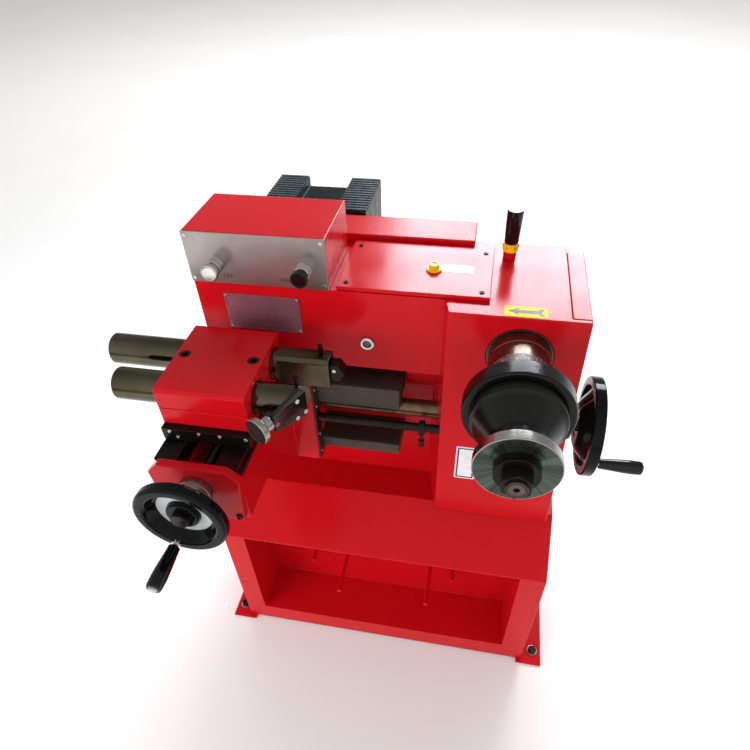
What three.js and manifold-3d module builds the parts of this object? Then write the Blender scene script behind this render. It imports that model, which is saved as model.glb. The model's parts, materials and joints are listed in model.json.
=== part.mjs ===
// A brake lathe for discs and drums, in millimetres, +Z up. X runs along the bed, from the tool bars
// on the left to the handwheel on the right, and the spindle points at the user along -Y.
// The drawing frame has its corner at the upper left front of the machine body. At the end the whole
// group is moved, so that its origin is at the bottom centre of its bounding box.

import * as THREE from 'three';
import * as BufferGeometryUtils from 'three/addons/utils/BufferGeometryUtils.js';
import Module from 'manifold-3d';

const wasm = await Module();
wasm.setup();

// Clearances and the like, shared by every sub-assembly
const seat = 0.3;             // gap between two pieces that rest on each other
const running = 0.5;          // radial gap round a shaft that turns, and along a slide
const overrun = 6;            // how far a cutting solid passes what it cuts
const roundSides = 32;        // sides of a large round
const smallSides = 16;        // sides of a small round
const weld = 1e-4;            // corners closer than this are one corner

// Machine body casting, with the head on its right
const body = {
  bedLength: 372,             // left part, up to the head
  headLength: 185,            // head, measured along its top
  depth: 171,
  height: 422,                // top of the casting above the base
  headReach: 30,              // how far the head stands out in front of the body
  headDraft: 20,              // how far the head's left wall leans, from its front edge to the back wall
  hoodHeight: 133,            // upper part, which overhangs the bed ways
  hoodSlope: 67,              // height of the slope under the hood, between the ways and the head
  slopeGap: 8,                // from the ways' ends to that slope
  backWallY: 54,              // face that carries the ways
  wall: 12,
  flare: 14,                  // how much wider the head is at the base, on the right
};

// Gear cover, bolted on the right of the head
const gearCover = { topWidth: 25, wall: 3, flange: 8, backFlange: 15 };

// Base cabinet, welded from sheet
const base = {
  overhangLeft: 24, overhangRight: 12, frontY: -107, overhangBack: 9, height: 381, sheet: 3.5,
  slopeTopY: -12, slopeDrop: 69,
  leftPostWidth: 42, rightPostWidth: 46, railHeight: 48, compartmentDepth: 103,
};

// Foot plates under the cabinet's ends, along Y
const foot = {
  width: 52, leftReach: 38, rightReach: 41, thickness: 5, frontOverhang: 8, boltHole: 6.5, boltInset: 30,
  boltEdge: 18,
};

// Pegs that hold the drum cones in the compartment
const peg = {
  radius: 4.2, length: 96, shortLength: 34, drop: 227, shares: [0.335, 0.681], shortShares: [0.2, 0.771],
};

// Two bed ways on the back wall
const way = {
  endGap: 68, frontY: -12, upperTop: -162, upperHeight: 41, lowerTop: -284, lowerHeight: 23, relief: 6,
};

// Carriage, which grips both ways
const carriage = {
  left: -22, length: 190, frontY: -36, topZ: -150, bottomZ: -318, lipBackY: 32, footBackY: 20,
  armLeft: 13, armWidth: 116, armFrontY: -237, armBottomZ: -228, gussetY: -160,
  grooveWidth: 44, grooveDepth: 26, wiperThickness: 2.5, wiperInset: 1.5,
};

// Dovetail strips on the carriage arm, and the slide on them
const strip = { width: 32, height: 25, undercut: 5, backY: -8 };
const slide = {
  left: 12, width: 124, frontY: -197, backY: -47, height: 20.4, wiperThickness: 3, socketShare: 0.7,
};
const nut = { width: 30, length: 34, depth: 40, backInset: 71 };

// Tool block, split at the height of the bars
const block = { left: 12, width: 124, frontY: -190, backY: -47, topZ: -45, barZ: -77, chamfer: 5 };
const bar = {
  radius: 22.5, frontY: -150, rearY: -77, frontLeft: -65, rearLeft: -109, frontRight: 191, rearRight: 219,
  holderLength: 76, holderDepth: 30, chamfer: 2.5,
};
const clampBolt = { headRadius: 8, headHeight: 10, shankRadius: 5, shankLength: 44, inset: 13, socket: 4 };

// Cutters on the bars' ends
const toolPlate = {
  thickness: 6, lean: 28, front: -48, noseTop: 12, noseBottom: -16, peakY: 1, peakZ: 23,
  back: 10, backTop: 14, backBottom: -25, ear: 12, earWidth: 8, earHeight: 14,
};
const knob = {
  radius: 18.5, thickness: 9, neckRadius: 11, neckLength: 14, stemRadius: 4, stemLength: 2, offset: 2,
};
const rearTool = { length: 12, width: 20, height: 26, tip: 8 };

// Cross screw with its bracket, dial, handwheel and crank grip
const cross = {
  x: 71, z: -158, screwRadius: 8, nutRadius: 12, bracketThickness: 13.5, bracketTopZ: -121,
  bracketBottomZ: -217,
  bracketLeft: 7, bracketRight: 134, bracketChamfer: 16, bracketTaper: 7,
  dialRadius: 23, dialLength: 24,
};
const crossWheel = {
  radius: 62, rimWidth: 16, rimDepth: 17, taper: 8, webBack: 10, webThickness: 5, hubRadius: 22, hubReach: 8,
  hubBackRadius: 17, gripPitch: 51, gripAngle: -19, pinReach: 7,
};
const feedWheel = {
  radius: 79, rimWidth: 14, rimDepth: 17, rimRound: 1.8, hubRadius: 20, hubLength: 28, dish: 20,
  webThickness: 6, webInset: 6, webDish: 19, webFlatRadius: 32,
  gripPitch: 66, gripAngle: 13, pinReach: 4,
};
const grip = { radius: 10.8, rootRadius: 8, length: 62, widestShare: 0.7, pinRadius: 3.6, capRadius: 5 };

// Feed screw, trip rod and stop collar
const feed = {
  y: 14, z: -218, radius: 14.5, journalRadius: 10, left: 2, shoulderInset: 8, wheelReach: 45.5,
  gearRadius: 28, gearWidth: 14, hubRadius: 24, hubLength: 9,
};
const trip = {
  y: -22, z: -227, radius: 7, left: -30, socket: 22, collarRadius: 12, collarLength: 10, collarInset: 34.5,
};

// Spindle line
const spindle = {
  headInset: 101, z: -63, shaftRadius: 25, noseRadius: 42, noseLength: 36, arborRadius: 16, endY: -267,
  noseRingLength: 59, threadRadius: 13, backReach: 7,
};
const bell = {
  ringRadius: 70, ringBackY: -125, ringLength: 26, ringWall: 9, shoulderRadius: 56, neckRadius: 34,
  neckLength: 27, frontY: -222, hubRadius: 44, bowlDepth: 22,
};
const clampCone = { radius: 51, rim: 14, backRadius: 48, length: 14.8, recess: 3 };
const clampCollar = { radius: 27, length: 9 };
const spindleNut = { acrossCorners: 39, length: 16.5 };
const bearing = { outerRadius: 45, innerGap: 0.4, frontLength: 14, rearOuterRadius: 40, rearLength: 14 };

// Gear train inside the head
const gears = {
  spindleRadius: 46, spindleWidth: 22, pinionRadius: 27, counterRadius: 45, inputRadius: 15,
  meshGap: 0.5, counterDropShare: 0.2, inputDropShare: 0.1, backInset: 51, spacing: 36, width: 18,
  module: 2, toothDepth: 4, toothShares: [[0.3, 0], [0.4, 1], [0.6, 1], [0.7, 0]], shaftRadius: 9,
};

// Belt drive and motor at the rear
const belt = {
  motorPulleyRadius: 20, inputPulleyRadius: 45, width: 9, thickness: 4, planeInset: 18, pulleyWidth: 16,
  flange: 4,
};
const motor = {
  x: 121, z: -107, radius: 84, gap: 2, length: 138, shaftRadius: 9, cowlLength: 46, cowlRadius: 80,
  cowlWall: 2, padWidth: 184, padTop: 1, boxTop: 16, boxWidth: 52, bracketWidth: 160, bracketThickness: 12,
};
const beltCover = {
  left: 47, spindleInset: 78, lipDepth: 26, standOff: 40, top: 13, bottomZ: -190, sheet: 3,
};

// Top of the body
const topCover = { gap: 9, headReach: 53, frontY: 2, lipGap: 4, thickness: 6, opening: 22 };
const plug = { x: 342, y: 66, radius: 9, height: 9, flangeRadius: 11.5, flange: 3 };
const shift = {
  headInset: 75, coverInset: 16, stubRadius: 9, stubHeight: 13, collarRadius: 11, collarHeight: 12,
  gripRadius: 11.5, gripHeight: 49, rodRadius: 6,
};

// Control box with its panel and push buttons, name plate and sight glass
const control = { width: 203, lipGap: 23, height: 76, sheet: 2, panelThickness: 2 };
const button = {
  offX: 44, onX: 171, z: 31, capRadius: 12, capLength: 8.5, bezelRadius: 11, bezelLength: 16, bezelWall: 3,
  stemRadius: 6, travel: 4,
};
const namePlate = { left: 42, topZ: -17, width: 114, height: 60, thickness: 1 };
const sight = { x: 254, z: -85, radius: 10.7, height: 6, glassRadius: 6.5, recess: 2 };

// Places and sizes that follow the body's own
const coverTopRight = body.bedLength + body.headLength;
const baseWidth = base.overhangLeft + coverTopRight + body.flare + base.overhangRight;
const wayLength = body.bedLength - way.endGap;
const shoulderX = body.bedLength + feed.shoulderInset;
const collarX = body.bedLength - trip.collarInset;
const wheelX = coverTopRight + feed.wheelReach;
const spindleX = body.bedLength + spindle.headInset;
const beltCoverRight = spindleX - beltCover.spindleInset;
const topCoverLeft = control.width + topCover.gap;
const topCoverRight = body.bedLength + topCover.headReach;
const shiftX = body.bedLength + shift.headInset;
const baseBackY = body.depth + base.overhangBack;
const gearCoverDepth = body.headReach + body.depth - gearCover.flange - gearCover.backFlange;
const spindleBackY = body.depth + spindle.backReach;
const gearSecondY = body.depth - gears.backInset;
const gearFirstY = gearSecondY - gears.spacing;
const beltCoverLipY = body.depth - beltCover.lipDepth;
const beltCoverBackY = body.depth + beltCover.standOff;
const beltPlaneY = beltCoverBackY - belt.planeInset;
const motorFrontY = beltCoverBackY + motor.gap;
const topCoverBackY = beltCoverLipY - topCover.lipGap;
const shiftY = topCoverBackY - shift.coverInset;
const controlDepth = beltCoverLipY - control.lipGap;

// Finishes
const finish = (color, roughness, metalness) =>
  new THREE.MeshStandardMaterial({ color, roughness, metalness });
const redEnamel = finish('#c8161f', 0.3, 0);
const blackOxide = finish('#1b1a19', 0.4, 0.6);
const blackEnamel = finish('#141416', 0.25, 0.1);
const blackPlastic = finish('#131313', 0.35, 0);
const polishedSteel = finish('#8d8a80', 0.18, 1);
const groundIron = finish('#5c544e', 0.35, 0.9);
const brushedAluminium = finish('#a9a7a4', 0.4, 1);
const chrome = finish('#c9c9c6', 0.12, 1);
const castSteel = finish('#6b6a66', 0.5, 0.8);
const rubber = finish('#1c1c1c', 0.8, 0);
const yellowPlastic = finish('#e9a516', 0.4, 0);
const bronze = finish('#9b7a3d', 0.35, 1);

// The lathe group and its list of named pieces
const lathe = new THREE.Group();

const addPiece = (name, geometry, material) => {
  const mesh = new THREE.Mesh(geometry, material);
  mesh.name = name;
  lathe.add(mesh);
  return mesh;
};

// Basic shapes

// A box from its lowest corner and its size
const boxFrom = (x, y, z, width, depth, height) =>
  new THREE.BoxGeometry(width, depth, height).translate(x + width / 2, y + depth / 2, z + height / 2);

// Turns a shape made along +Z so that it runs along +X or +Y
const alongAxis = (geometry, axis) => {
  if (axis === 'x') geometry.rotateY(Math.PI / 2);
  if (axis === 'y') geometry.rotateX(-Math.PI / 2);
  return geometry;
};

// A revolved solid. The profile is a list of [distance along the axis, radius], and starts and ends on
// the axis, or closes on itself when it is a ring.
const turned = (profile, axis, place, sides = roundSides, ring = false) => {
  const points = profile.map(([along, radius]) => new THREE.Vector2(radius, along));
  if (ring) points.push(points[0].clone());
  const geometry = new THREE.LatheGeometry(points, sides);
  geometry.rotateX(Math.PI / 2);
  alongAxis(geometry, axis);
  return geometry.translate(...place);
};

// A plain round bar from a start point along an axis
const roundBar = (radius, length, axis, place, sides = roundSides) =>
  turned([[0, 0], [0, radius], [length, radius], [length, 0]], axis, place, sides);

// A flat outline pushed along X (outline in Y, Z) or along Y (outline in X, Z)
const pushed = (outline, axis, start, length) => {
  const shape = new THREE.Shape(outline.map(([a, b]) => new THREE.Vector2(a, b)));
  const geometry = new THREE.ExtrudeGeometry(shape, { depth: length, bevelEnabled: false });
  if (axis === 'x') {
    geometry.applyMatrix4(new THREE.Matrix4().makeBasis(
      new THREE.Vector3(0, 1, 0), new THREE.Vector3(0, 0, 1), new THREE.Vector3(1, 0, 0)));
    return geometry.translate(start, 0, 0);
  }
  geometry.applyMatrix4(new THREE.Matrix4().makeBasis(
    new THREE.Vector3(1, 0, 0), new THREE.Vector3(0, 0, 1), new THREE.Vector3(0, -1, 0)));
  return geometry.translate(0, start + length, 0);
};

// A flat outline in X and Y, raised along Z
const risen = (outline, start, height) => {
  const shape = new THREE.Shape(outline.map(([a, b]) => new THREE.Vector2(a, b)));
  return new THREE.ExtrudeGeometry(shape, { depth: height, bevelEnabled: false }).translate(0, 0, start);
};

// Joins and cuts
const solidOf = (geometry) => {
  const bare = geometry.index ? geometry.toNonIndexed() : geometry.clone();
  bare.deleteAttribute('normal');
  bare.deleteAttribute('uv');
  const merged = BufferGeometryUtils.mergeVertices(bare, weld);
  return new wasm.Manifold(new wasm.Mesh({
    numProp: 3,
    vertProperties: new Float32Array(merged.attributes.position.array),
    triVerts: new Uint32Array(merged.index.array),
  }));
};
const geometryOf = (solid) => {
  const mesh = solid.getMesh();
  const geometry = new THREE.BufferGeometry();
  geometry.setAttribute('position', new THREE.BufferAttribute(new Float32Array(mesh.vertProperties), 3));
  geometry.setIndex(new THREE.BufferAttribute(new Uint32Array(mesh.triVerts), 1));
  const flat = geometry.toNonIndexed();
  flat.computeVertexNormals();
  return flat;
};

const joined = (...geometries) => geometryOf(geometries.map(solidOf).reduce((all, one) => all.add(one)));
const cut = (geometry, ...tools) =>
  geometryOf(tools.map(solidOf).reduce((rest, tool) => rest.subtract(tool), solidOf(geometry)));

// A toothed wheel along Y, with trapezoid teeth
const toothedWheel = (radius, width, x, y, z) => {
  const outline = [];
  const teeth = Math.round((2 * radius) / gears.module);
  const step = (2 * Math.PI) / teeth;
  for (let tooth = 0; tooth < teeth; tooth += 1) {
    for (const [turn, rise] of gears.toothShares) {
      const angle = (tooth + turn) * step;
      const reach = radius - gears.toothDepth * (1 - rise);
      outline.push([x + reach * Math.cos(angle), z + reach * Math.sin(angle)]);
    }
  }
  return pushed(outline, 'y', y, width);
};

// Base

const baseLeft = -base.overhangLeft;
const baseTop = -body.height - seat;
const baseBottom = baseTop - base.height;
const slopeBottom = baseTop - base.slopeDrop;

const baseOutline = (inset, bottom) => [
  [base.frontY + inset, bottom], [baseBackY - inset, bottom], [baseBackY - inset, baseTop - inset],
  [base.slopeTopY + inset, baseTop - inset], [base.frontY + inset, slopeBottom - inset],
];

const buildBase = () => {
  const compartmentLeft = baseLeft + base.leftPostWidth;
  const compartmentWidth = baseWidth - base.leftPostWidth - base.rightPostWidth;
  const compartmentFloor = baseBottom + base.railHeight;
  const compartmentBack = base.frontY + base.compartmentDepth;
  const slopeAt = (y) => slopeBottom + ((y - base.frontY) / (base.slopeTopY - base.frontY)) * base.slopeDrop;
  const room = (inset) => [
    [base.frontY - overrun, compartmentFloor - inset], [compartmentBack + inset, compartmentFloor - inset],
    [compartmentBack + inset, Math.min(baseTop, slopeAt(compartmentBack)) - base.sheet],
    [base.frontY - overrun, slopeAt(base.frontY - overrun) - base.sheet],
  ];
  const outer = pushed(baseOutline(0, baseBottom), 'x', baseLeft, baseWidth);
  const inner = pushed(
    baseOutline(base.sheet, baseBottom - overrun), 'x', baseLeft + base.sheet, baseWidth - 2 * base.sheet);
  const lining = pushed(
    room(base.sheet), 'x', compartmentLeft - base.sheet, compartmentWidth + 2 * base.sheet);
  const hollow = pushed(room(0), 'x', compartmentLeft, compartmentWidth);
  const cavity = cut(inner, lining);
  const shell = cut(outer, cavity, hollow);
  const pegs = [];
  const addPegs = (shares, length, radius) => shares.forEach((share) => pegs.push(
    roundBar(radius, length + base.sheet / 2, 'y',
      [compartmentLeft + compartmentWidth * share, compartmentBack - length, baseTop - peg.drop],
      smallSides)));
  addPegs(peg.shares, peg.length, peg.radius);
  addPegs(peg.shortShares, peg.shortLength, peg.radius);
  addPiece('base_cabinet', joined(shell, ...pegs), redEnamel);

  const footFront = base.frontY - foot.frontOverhang;
  const footLength = baseBackY - footFront;
  const footZ = baseBottom - seat - foot.thickness;
  const footLefts = {
    left: baseLeft - foot.leftReach, right: baseLeft + baseWidth + foot.rightReach - foot.width };
  for (const [side, left] of Object.entries(footLefts)) {
    const holeX = side === 'left' ? left + foot.boltEdge : left + foot.width - foot.boltEdge;
    const holes = [footFront + foot.boltInset, footFront + footLength - foot.boltInset].map((y) =>
      roundBar(foot.boltHole, foot.thickness + 2 * overrun, 'z', [holeX, y, footZ - overrun], smallSides));
    addPiece(`foot_plate_${side}`,
      cut(boxFrom(left, footFront, footZ, foot.width, footLength, foot.thickness), ...holes), redEnamel);
  }
};

// Machine body

const coverLeft = coverTopRight - gearCover.topWidth;
const headRightAt = (z) => coverTopRight - (z / body.height) * body.flare;
const headOutline = (left, inset) => [
  [left, -body.height + inset], [headRightAt(-body.height) - inset, -body.height + inset],
  [headRightAt(0) - inset, -inset], [left, -inset],
];

// Centres of the shafts inside the head, in X and Z
const counterDistance = gears.spindleRadius + gears.pinionRadius + gears.meshGap;
const counterDrop = counterDistance * gears.counterDropShare;
const counterX = spindleX - Math.sqrt(counterDistance ** 2 - counterDrop ** 2);
const counterZ = spindle.z - counterDrop;
const inputDistance = gears.counterRadius + gears.inputRadius + gears.meshGap;
const inputDrop = inputDistance * gears.inputDropShare;
const inputX = counterX - Math.sqrt(inputDistance ** 2 - inputDrop ** 2);
const inputZ = counterZ - inputDrop;

const buildBody = () => {
  const hood = boxFrom(0, 0, -body.hoodHeight, body.bedLength + overrun, body.depth, body.hoodHeight);
  const spine = boxFrom(0, body.backWallY, -body.height, body.bedLength + overrun,
    body.depth - body.backWallY,
    body.height);
  const head = pushed(headOutline(body.bedLength, 0), 'y', -body.headReach, body.depth + body.headReach);
  const leaning = risen([
    [body.bedLength - body.headDraft, body.backWallY], [body.bedLength, -body.headReach],
    [body.bedLength + overrun, -body.headReach], [body.bedLength + overrun, body.backWallY + overrun],
    [body.bedLength - body.headDraft, body.backWallY + overrun],
  ], -body.height, body.height);
  const slope = pushed([
    [0, -body.hoodHeight], [body.backWallY, -body.hoodHeight - body.hoodSlope],
    [body.backWallY + overrun, -body.hoodHeight - body.hoodSlope],
    [body.backWallY + overrun, overrun - body.hoodHeight], [0, overrun - body.hoodHeight],
  ], 'x', wayLength + body.slopeGap, body.bedLength - wayLength - body.slopeGap + overrun);
  const outside = joined(hood, spine, head, leaning, slope);

  const wall = body.wall;
  const roomRight = coverLeft - wall;
  const rearRoom = boxFrom(wall, body.backWallY + wall, -body.height - overrun, roomRight - wall,
    body.depth - body.backWallY - 2 * wall, body.height + overrun - wall);
  const upperRoom = boxFrom(wall, wall, -body.hoodHeight + wall, roomRight - wall, body.depth - 2 * wall,
    body.hoodHeight - 2 * wall);
  const headRoom = boxFrom(body.bedLength + wall, wall - body.headReach, -body.height - overrun,
    roomRight - body.bedLength - wall, body.depth + body.headReach - 2 * wall, body.height + overrun - wall);
  const hatch = boxFrom(topCoverLeft + topCover.opening, topCover.frontY + topCover.opening, -wall - overrun,
    topCoverRight - topCoverLeft - 2 * topCover.opening,
    topCoverBackY - topCover.frontY - 2 * topCover.opening, wall + 2 * overrun);
  const coverSeat = boxFrom(coverLeft, gearCover.flange - body.headReach, -body.height - overrun,
    gearCover.topWidth + body.flare + overrun, body.depth + body.headReach + overrun,
    body.height + 2 * overrun);

  const bores = [
    roundBar(bearing.outerRadius + seat, wall + 2 * overrun, 'y',
      [spindleX, -body.headReach - overrun, spindle.z]),
    roundBar(bearing.rearOuterRadius + seat, wall + 2 * overrun, 'y',
      [spindleX, body.depth - wall - overrun, spindle.z]),
    roundBar(gears.shaftRadius + running, wall + 2 * overrun, 'y',
      [inputX, body.depth - wall - overrun, inputZ], smallSides),
    roundBar(gears.shaftRadius + running, wall / 2 + overrun, 'y',
      [inputX, wall / 2, inputZ], smallSides),
    roundBar(gears.shaftRadius + running, wall / 2 + overrun, 'y',
      [counterX, body.depth - wall - overrun, counterZ], smallSides),
    roundBar(gears.shaftRadius + running, wall / 2 + overrun, 'y',
      [counterX, wall / 2 - body.headReach, counterZ], smallSides),
    roundBar(feed.radius + running, body.headDraft + wall + 2 * overrun, 'x',
      [body.bedLength - body.headDraft - overrun, feed.y, feed.z]),
    roundBar(feed.journalRadius + running, wall + 2 * overrun, 'x', [roomRight - overrun, feed.y, feed.z]),
    roundBar(trip.radius + seat, trip.socket + overrun, 'x', [body.bedLength - overrun, trip.y, trip.z],
      smallSides),
    roundBar(sight.radius - sight.recess, wall + 2 * overrun, 'y', [sight.x, -overrun, sight.z], smallSides),
  ];
  addPiece('machine_body',
    cut(outside, coverSeat, rearRoom, upperRoom, headRoom, hatch, ...bores), redEnamel);

  const coverOutside = pushed(
    [[coverLeft + seat, -body.height + seat], [headRightAt(-body.height), -body.height + seat],
      [headRightAt(0), 0], [coverLeft + seat, 0]],
    'y', gearCover.flange - body.headReach + seat, gearCoverDepth);
  const skin = gearCover.wall;
  const coverInside = pushed(
    [[coverLeft - overrun, -body.height + seat + skin],
      [headRightAt(-body.height) - skin, -body.height + seat + skin],
      [headRightAt(0) - skin, -skin], [coverLeft - overrun, -skin]],
    'y', gearCover.flange - body.headReach + seat + skin, gearCoverDepth - 2 * skin);
  const shaftHole = roundBar(feed.journalRadius + running, body.flare + 2 * overrun, 'x',
    [coverTopRight - overrun, feed.y, feed.z], smallSides);
  addPiece('gear_cover', cut(coverOutside, coverInside, shaftHole), redEnamel);
};

const buildTop = () => {
  const width = topCoverRight - topCoverLeft;
  const plugHole = roundBar(plug.radius + seat, topCover.thickness + 2 * overrun, 'z',
    [plug.x, plug.y, seat - overrun],
    smallSides);
  addPiece('top_cover',
    cut(boxFrom(topCoverLeft, topCover.frontY, seat, width, topCoverBackY - topCover.frontY,
      topCover.thickness),
      plugHole), redEnamel);
  const plugFoot = topCover.thickness + 2 * seat;
  addPiece('filler_plug', turned([
    [0, 0], [0, plug.radius], [plugFoot, plug.radius], [plugFoot, plug.flangeRadius],
    [plugFoot + plug.flange, plug.flangeRadius], [plugFoot + plug.flange, plug.radius - plug.flange / 2],
    [plugFoot + plug.height, plug.radius - plug.flange / 2], [plugFoot + plug.height, 0],
  ], 'z', [plug.x, plug.y, 0], smallSides), yellowPlastic);

  const stubTop = seat + shift.stubHeight;
  addPiece('shift_collar', turned([
    [0, shift.rodRadius + running], [0, shift.stubRadius], [shift.stubHeight, shift.stubRadius],
    [shift.stubHeight, shift.collarRadius], [shift.stubHeight + shift.collarHeight, shift.collarRadius],
    [shift.stubHeight + shift.collarHeight, shift.rodRadius + running],
  ], 'z', [shiftX, shiftY, seat], smallSides, true), yellowPlastic);
  const gripFoot = stubTop + shift.collarHeight + seat;
  addPiece('shift_lever', turned([
    [seat, 0], [seat, shift.rodRadius], [gripFoot, shift.rodRadius], [gripFoot, shift.gripRadius - seat],
    [gripFoot + seat, shift.gripRadius],
    [gripFoot + shift.gripHeight - shift.gripRadius / 2, shift.gripRadius],
    [gripFoot + shift.gripHeight, shift.gripRadius / 2], [gripFoot + shift.gripHeight, 0],
  ], 'z', [shiftX, shiftY, seat], smallSides), blackPlastic);
};

// Controls

const buildControls = () => {
  const sheet = control.sheet;
  const box = boxFrom(0, 0, seat, control.width, controlDepth, control.height);
  const inside = boxFrom(sheet, -overrun, seat + sheet, control.width - 2 * sheet,
    controlDepth + overrun - sheet, control.height - 2 * sheet);
  addPiece('control_box', cut(box, inside), redEnamel);

  const panelFront = -seat - control.panelThickness;
  const places = { off: button.offX, on: button.onX };
  const holes = Object.values(places).map((x) => roundBar(button.stemRadius + running,
    control.panelThickness + 2 * overrun, 'y', [x, panelFront - overrun, button.z], smallSides));
  addPiece('control_panel',
    cut(boxFrom(0, panelFront, seat, control.width, control.panelThickness, control.height), ...holes),
    brushedAluminium);

  const capMaterials = { off: chrome, on: blackPlastic };
  for (const [side, x] of Object.entries(places)) {
    const bezelFront = panelFront - seat - button.bezelLength;
    addPiece(`${side}_button_bezel`, turned([
      [0, button.stemRadius + running], [0, button.bezelRadius], [button.bezelLength, button.bezelRadius],
      [button.bezelLength, button.stemRadius + running],
    ], 'y', [x, bezelFront, button.z], smallSides, true), chrome);
    const capFront = bezelFront - button.travel - running - button.capLength;
    addPiece(`${side}_button`, turned([
      [0, 0], [0, button.capRadius - button.bezelWall / 2], [button.bezelWall / 2, button.capRadius],
      [button.capLength, button.capRadius], [button.capLength, button.stemRadius],
      [-capFront, button.stemRadius], [-capFront, 0],
    ], 'y', [x, capFront, button.z], smallSides), capMaterials[side]);
  }

  addPiece('name_plate', boxFrom(namePlate.left, -seat - namePlate.thickness,
    namePlate.topZ - namePlate.height,
    namePlate.width, namePlate.thickness, namePlate.height), brushedAluminium);

  addPiece('sight_glass', turned([
    [0, 0], [0, sight.glassRadius], [-sight.recess, sight.glassRadius],
    [-sight.recess, sight.radius - sight.recess / 2],
    [0, sight.radius], [sight.height - sight.recess - seat, sight.radius],
    [sight.height - sight.recess - seat, 0],
  ], 'y', [sight.x, sight.recess - sight.height, sight.z], smallSides), chrome);
};

// Rear belt drive and motor

const buildDrive = () => {
  const outer = joined(
    boxFrom(beltCover.left, beltCoverLipY, seat, beltCoverRight - beltCover.left,
      beltCoverBackY - beltCoverLipY, beltCover.top),
    boxFrom(beltCover.left, body.depth + seat, beltCover.bottomZ, beltCoverRight - beltCover.left,
      beltCoverBackY - body.depth - seat, -beltCover.bottomZ + seat + beltCover.top / 2));
  const sheet = beltCover.sheet;
  const hollow = boxFrom(beltCover.left + sheet, body.depth - overrun, beltCover.bottomZ + sheet,
    beltCoverRight - beltCover.left - 2 * sheet, beltCoverBackY - body.depth + overrun - sheet,
    -beltCover.bottomZ - sheet);
  const lipHollow = boxFrom(beltCover.left + sheet, beltCoverLipY + sheet, -overrun,
    beltCoverRight - beltCover.left - 2 * sheet, beltCoverBackY - beltCoverLipY - 2 * sheet,
    beltCover.top + seat - sheet + overrun);
  const motorHole = roundBar(motor.shaftRadius + 2 * running, sheet + 2 * overrun, 'y',
    [motor.x, beltCoverBackY - sheet - overrun, motor.z], smallSides);
  addPiece('belt_cover', cut(outer, hollow, lipHollow, motorHole), redEnamel);

  const pulleyFront = beltPlaneY - belt.pulleyWidth / 2;
  const groove = (belt.pulleyWidth - belt.width) / 2 - running;
  const pulley = (radius) => [
    [0, 0], [0, radius + belt.flange], [groove, radius + belt.flange], [groove, radius],
    [belt.pulleyWidth - groove, radius], [belt.pulleyWidth - groove, radius + belt.flange],
    [belt.pulleyWidth, radius + belt.flange],
  ];
  addPiece('motor_pulley', turned([
    ...pulley(belt.motorPulleyRadius), [belt.pulleyWidth, motor.shaftRadius],
    [motorFrontY + motor.length / 2 - pulleyFront, motor.shaftRadius],
    [motorFrontY + motor.length / 2 - pulleyFront, 0],
  ], 'y', [motor.x, pulleyFront, motor.z], smallSides), castSteel);

  // Input pulley with its shaft, which runs forward to the front wall, and its pinion
  const shaft = roundBar(gears.shaftRadius, pulleyFront + belt.pulleyWidth / 2 - body.wall / 2 - running, 'y',
    [inputX, body.wall / 2 + running, inputZ], smallSides);
  const wheel = turned([...pulley(belt.inputPulleyRadius), [belt.pulleyWidth, 0]], 'y',
    [inputX, pulleyFront, inputZ]);
  const pinion = toothedWheel(gears.inputRadius, gears.width, inputX, gearSecondY, inputZ);
  addPiece('input_pulley', joined(shaft, wheel, pinion), castSteel);

  // Belt: an outer loop round both pulleys less an inner one
  const loop = (gap, start, width) => {
    const centres = [[motor.x, motor.z, belt.motorPulleyRadius], [inputX, inputZ, belt.inputPulleyRadius]];
    const [dx, dz] = [inputX - motor.x, inputZ - motor.z];
    const axisTurn = Math.atan2(dz, dx);
    const lean = Math.acos((belt.motorPulleyRadius - belt.inputPulleyRadius) / Math.hypot(dx, dz));
    const outline = [];
    const arc = ([cx, cz, radius], from, to) => {
      const steps = roundSides / 2;
      for (let step = 0; step <= steps; step += 1) {
        const angle = from + ((to - from) * step) / steps;
        outline.push([cx + (radius + gap) * Math.cos(angle), cz + (radius + gap) * Math.sin(angle)]);
      }
    };
    arc(centres[1], axisTurn - lean, axisTurn + lean);
    arc(centres[0], axisTurn + lean, axisTurn + 2 * Math.PI - lean);
    return pushed(outline, 'y', start, width);
  };
  addPiece('drive_belt', cut(
    loop(seat + belt.thickness, beltPlaneY - belt.width / 2, belt.width),
    loop(seat, beltPlaneY - belt.width / 2 - overrun, belt.width + 2 * overrun)), rubber);

  // Motor: round body with a flat pad and two terminal boxes on top, and a bracket below
  const round = roundBar(motor.radius, motor.length, 'y', [motor.x, motorFrontY, motor.z]);
  const padLeft = motor.x - motor.padWidth / 2;
  const padBottom = motor.z + motor.radius / 2;
  const pad = boxFrom(padLeft, motorFrontY + overrun, padBottom, motor.padWidth,
    motor.length - 2 * overrun, motor.padTop - padBottom);
  const boxes = [padLeft, padLeft + motor.padWidth - motor.boxWidth].map((left) =>
    boxFrom(left, motorFrontY, padBottom + overrun, motor.boxWidth, motor.length,
      motor.boxTop - padBottom - overrun));
  const footTop = motor.z - motor.radius + motor.bracketThickness;
  const bracket = boxFrom(motor.x - motor.bracketWidth / 2, body.depth + seat,
    footTop - 2 * motor.bracketThickness, motor.bracketWidth,
    motorFrontY + motor.length - overrun - body.depth - seat, motor.bracketThickness);
  const legs = boxFrom(motor.x - motor.radius / 2, motorFrontY + overrun,
    footTop - 2 * motor.bracketThickness,
    motor.radius, motor.length - 3 * overrun, 2 * motor.bracketThickness);
  const bore = roundBar(motor.shaftRadius + running, motor.length / 2 + overrun + running, 'y',
    [motor.x, motorFrontY - overrun, motor.z], smallSides);
  addPiece('motor_housing', cut(joined(round, pad, ...boxes, bracket, legs), bore), blackEnamel);

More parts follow.
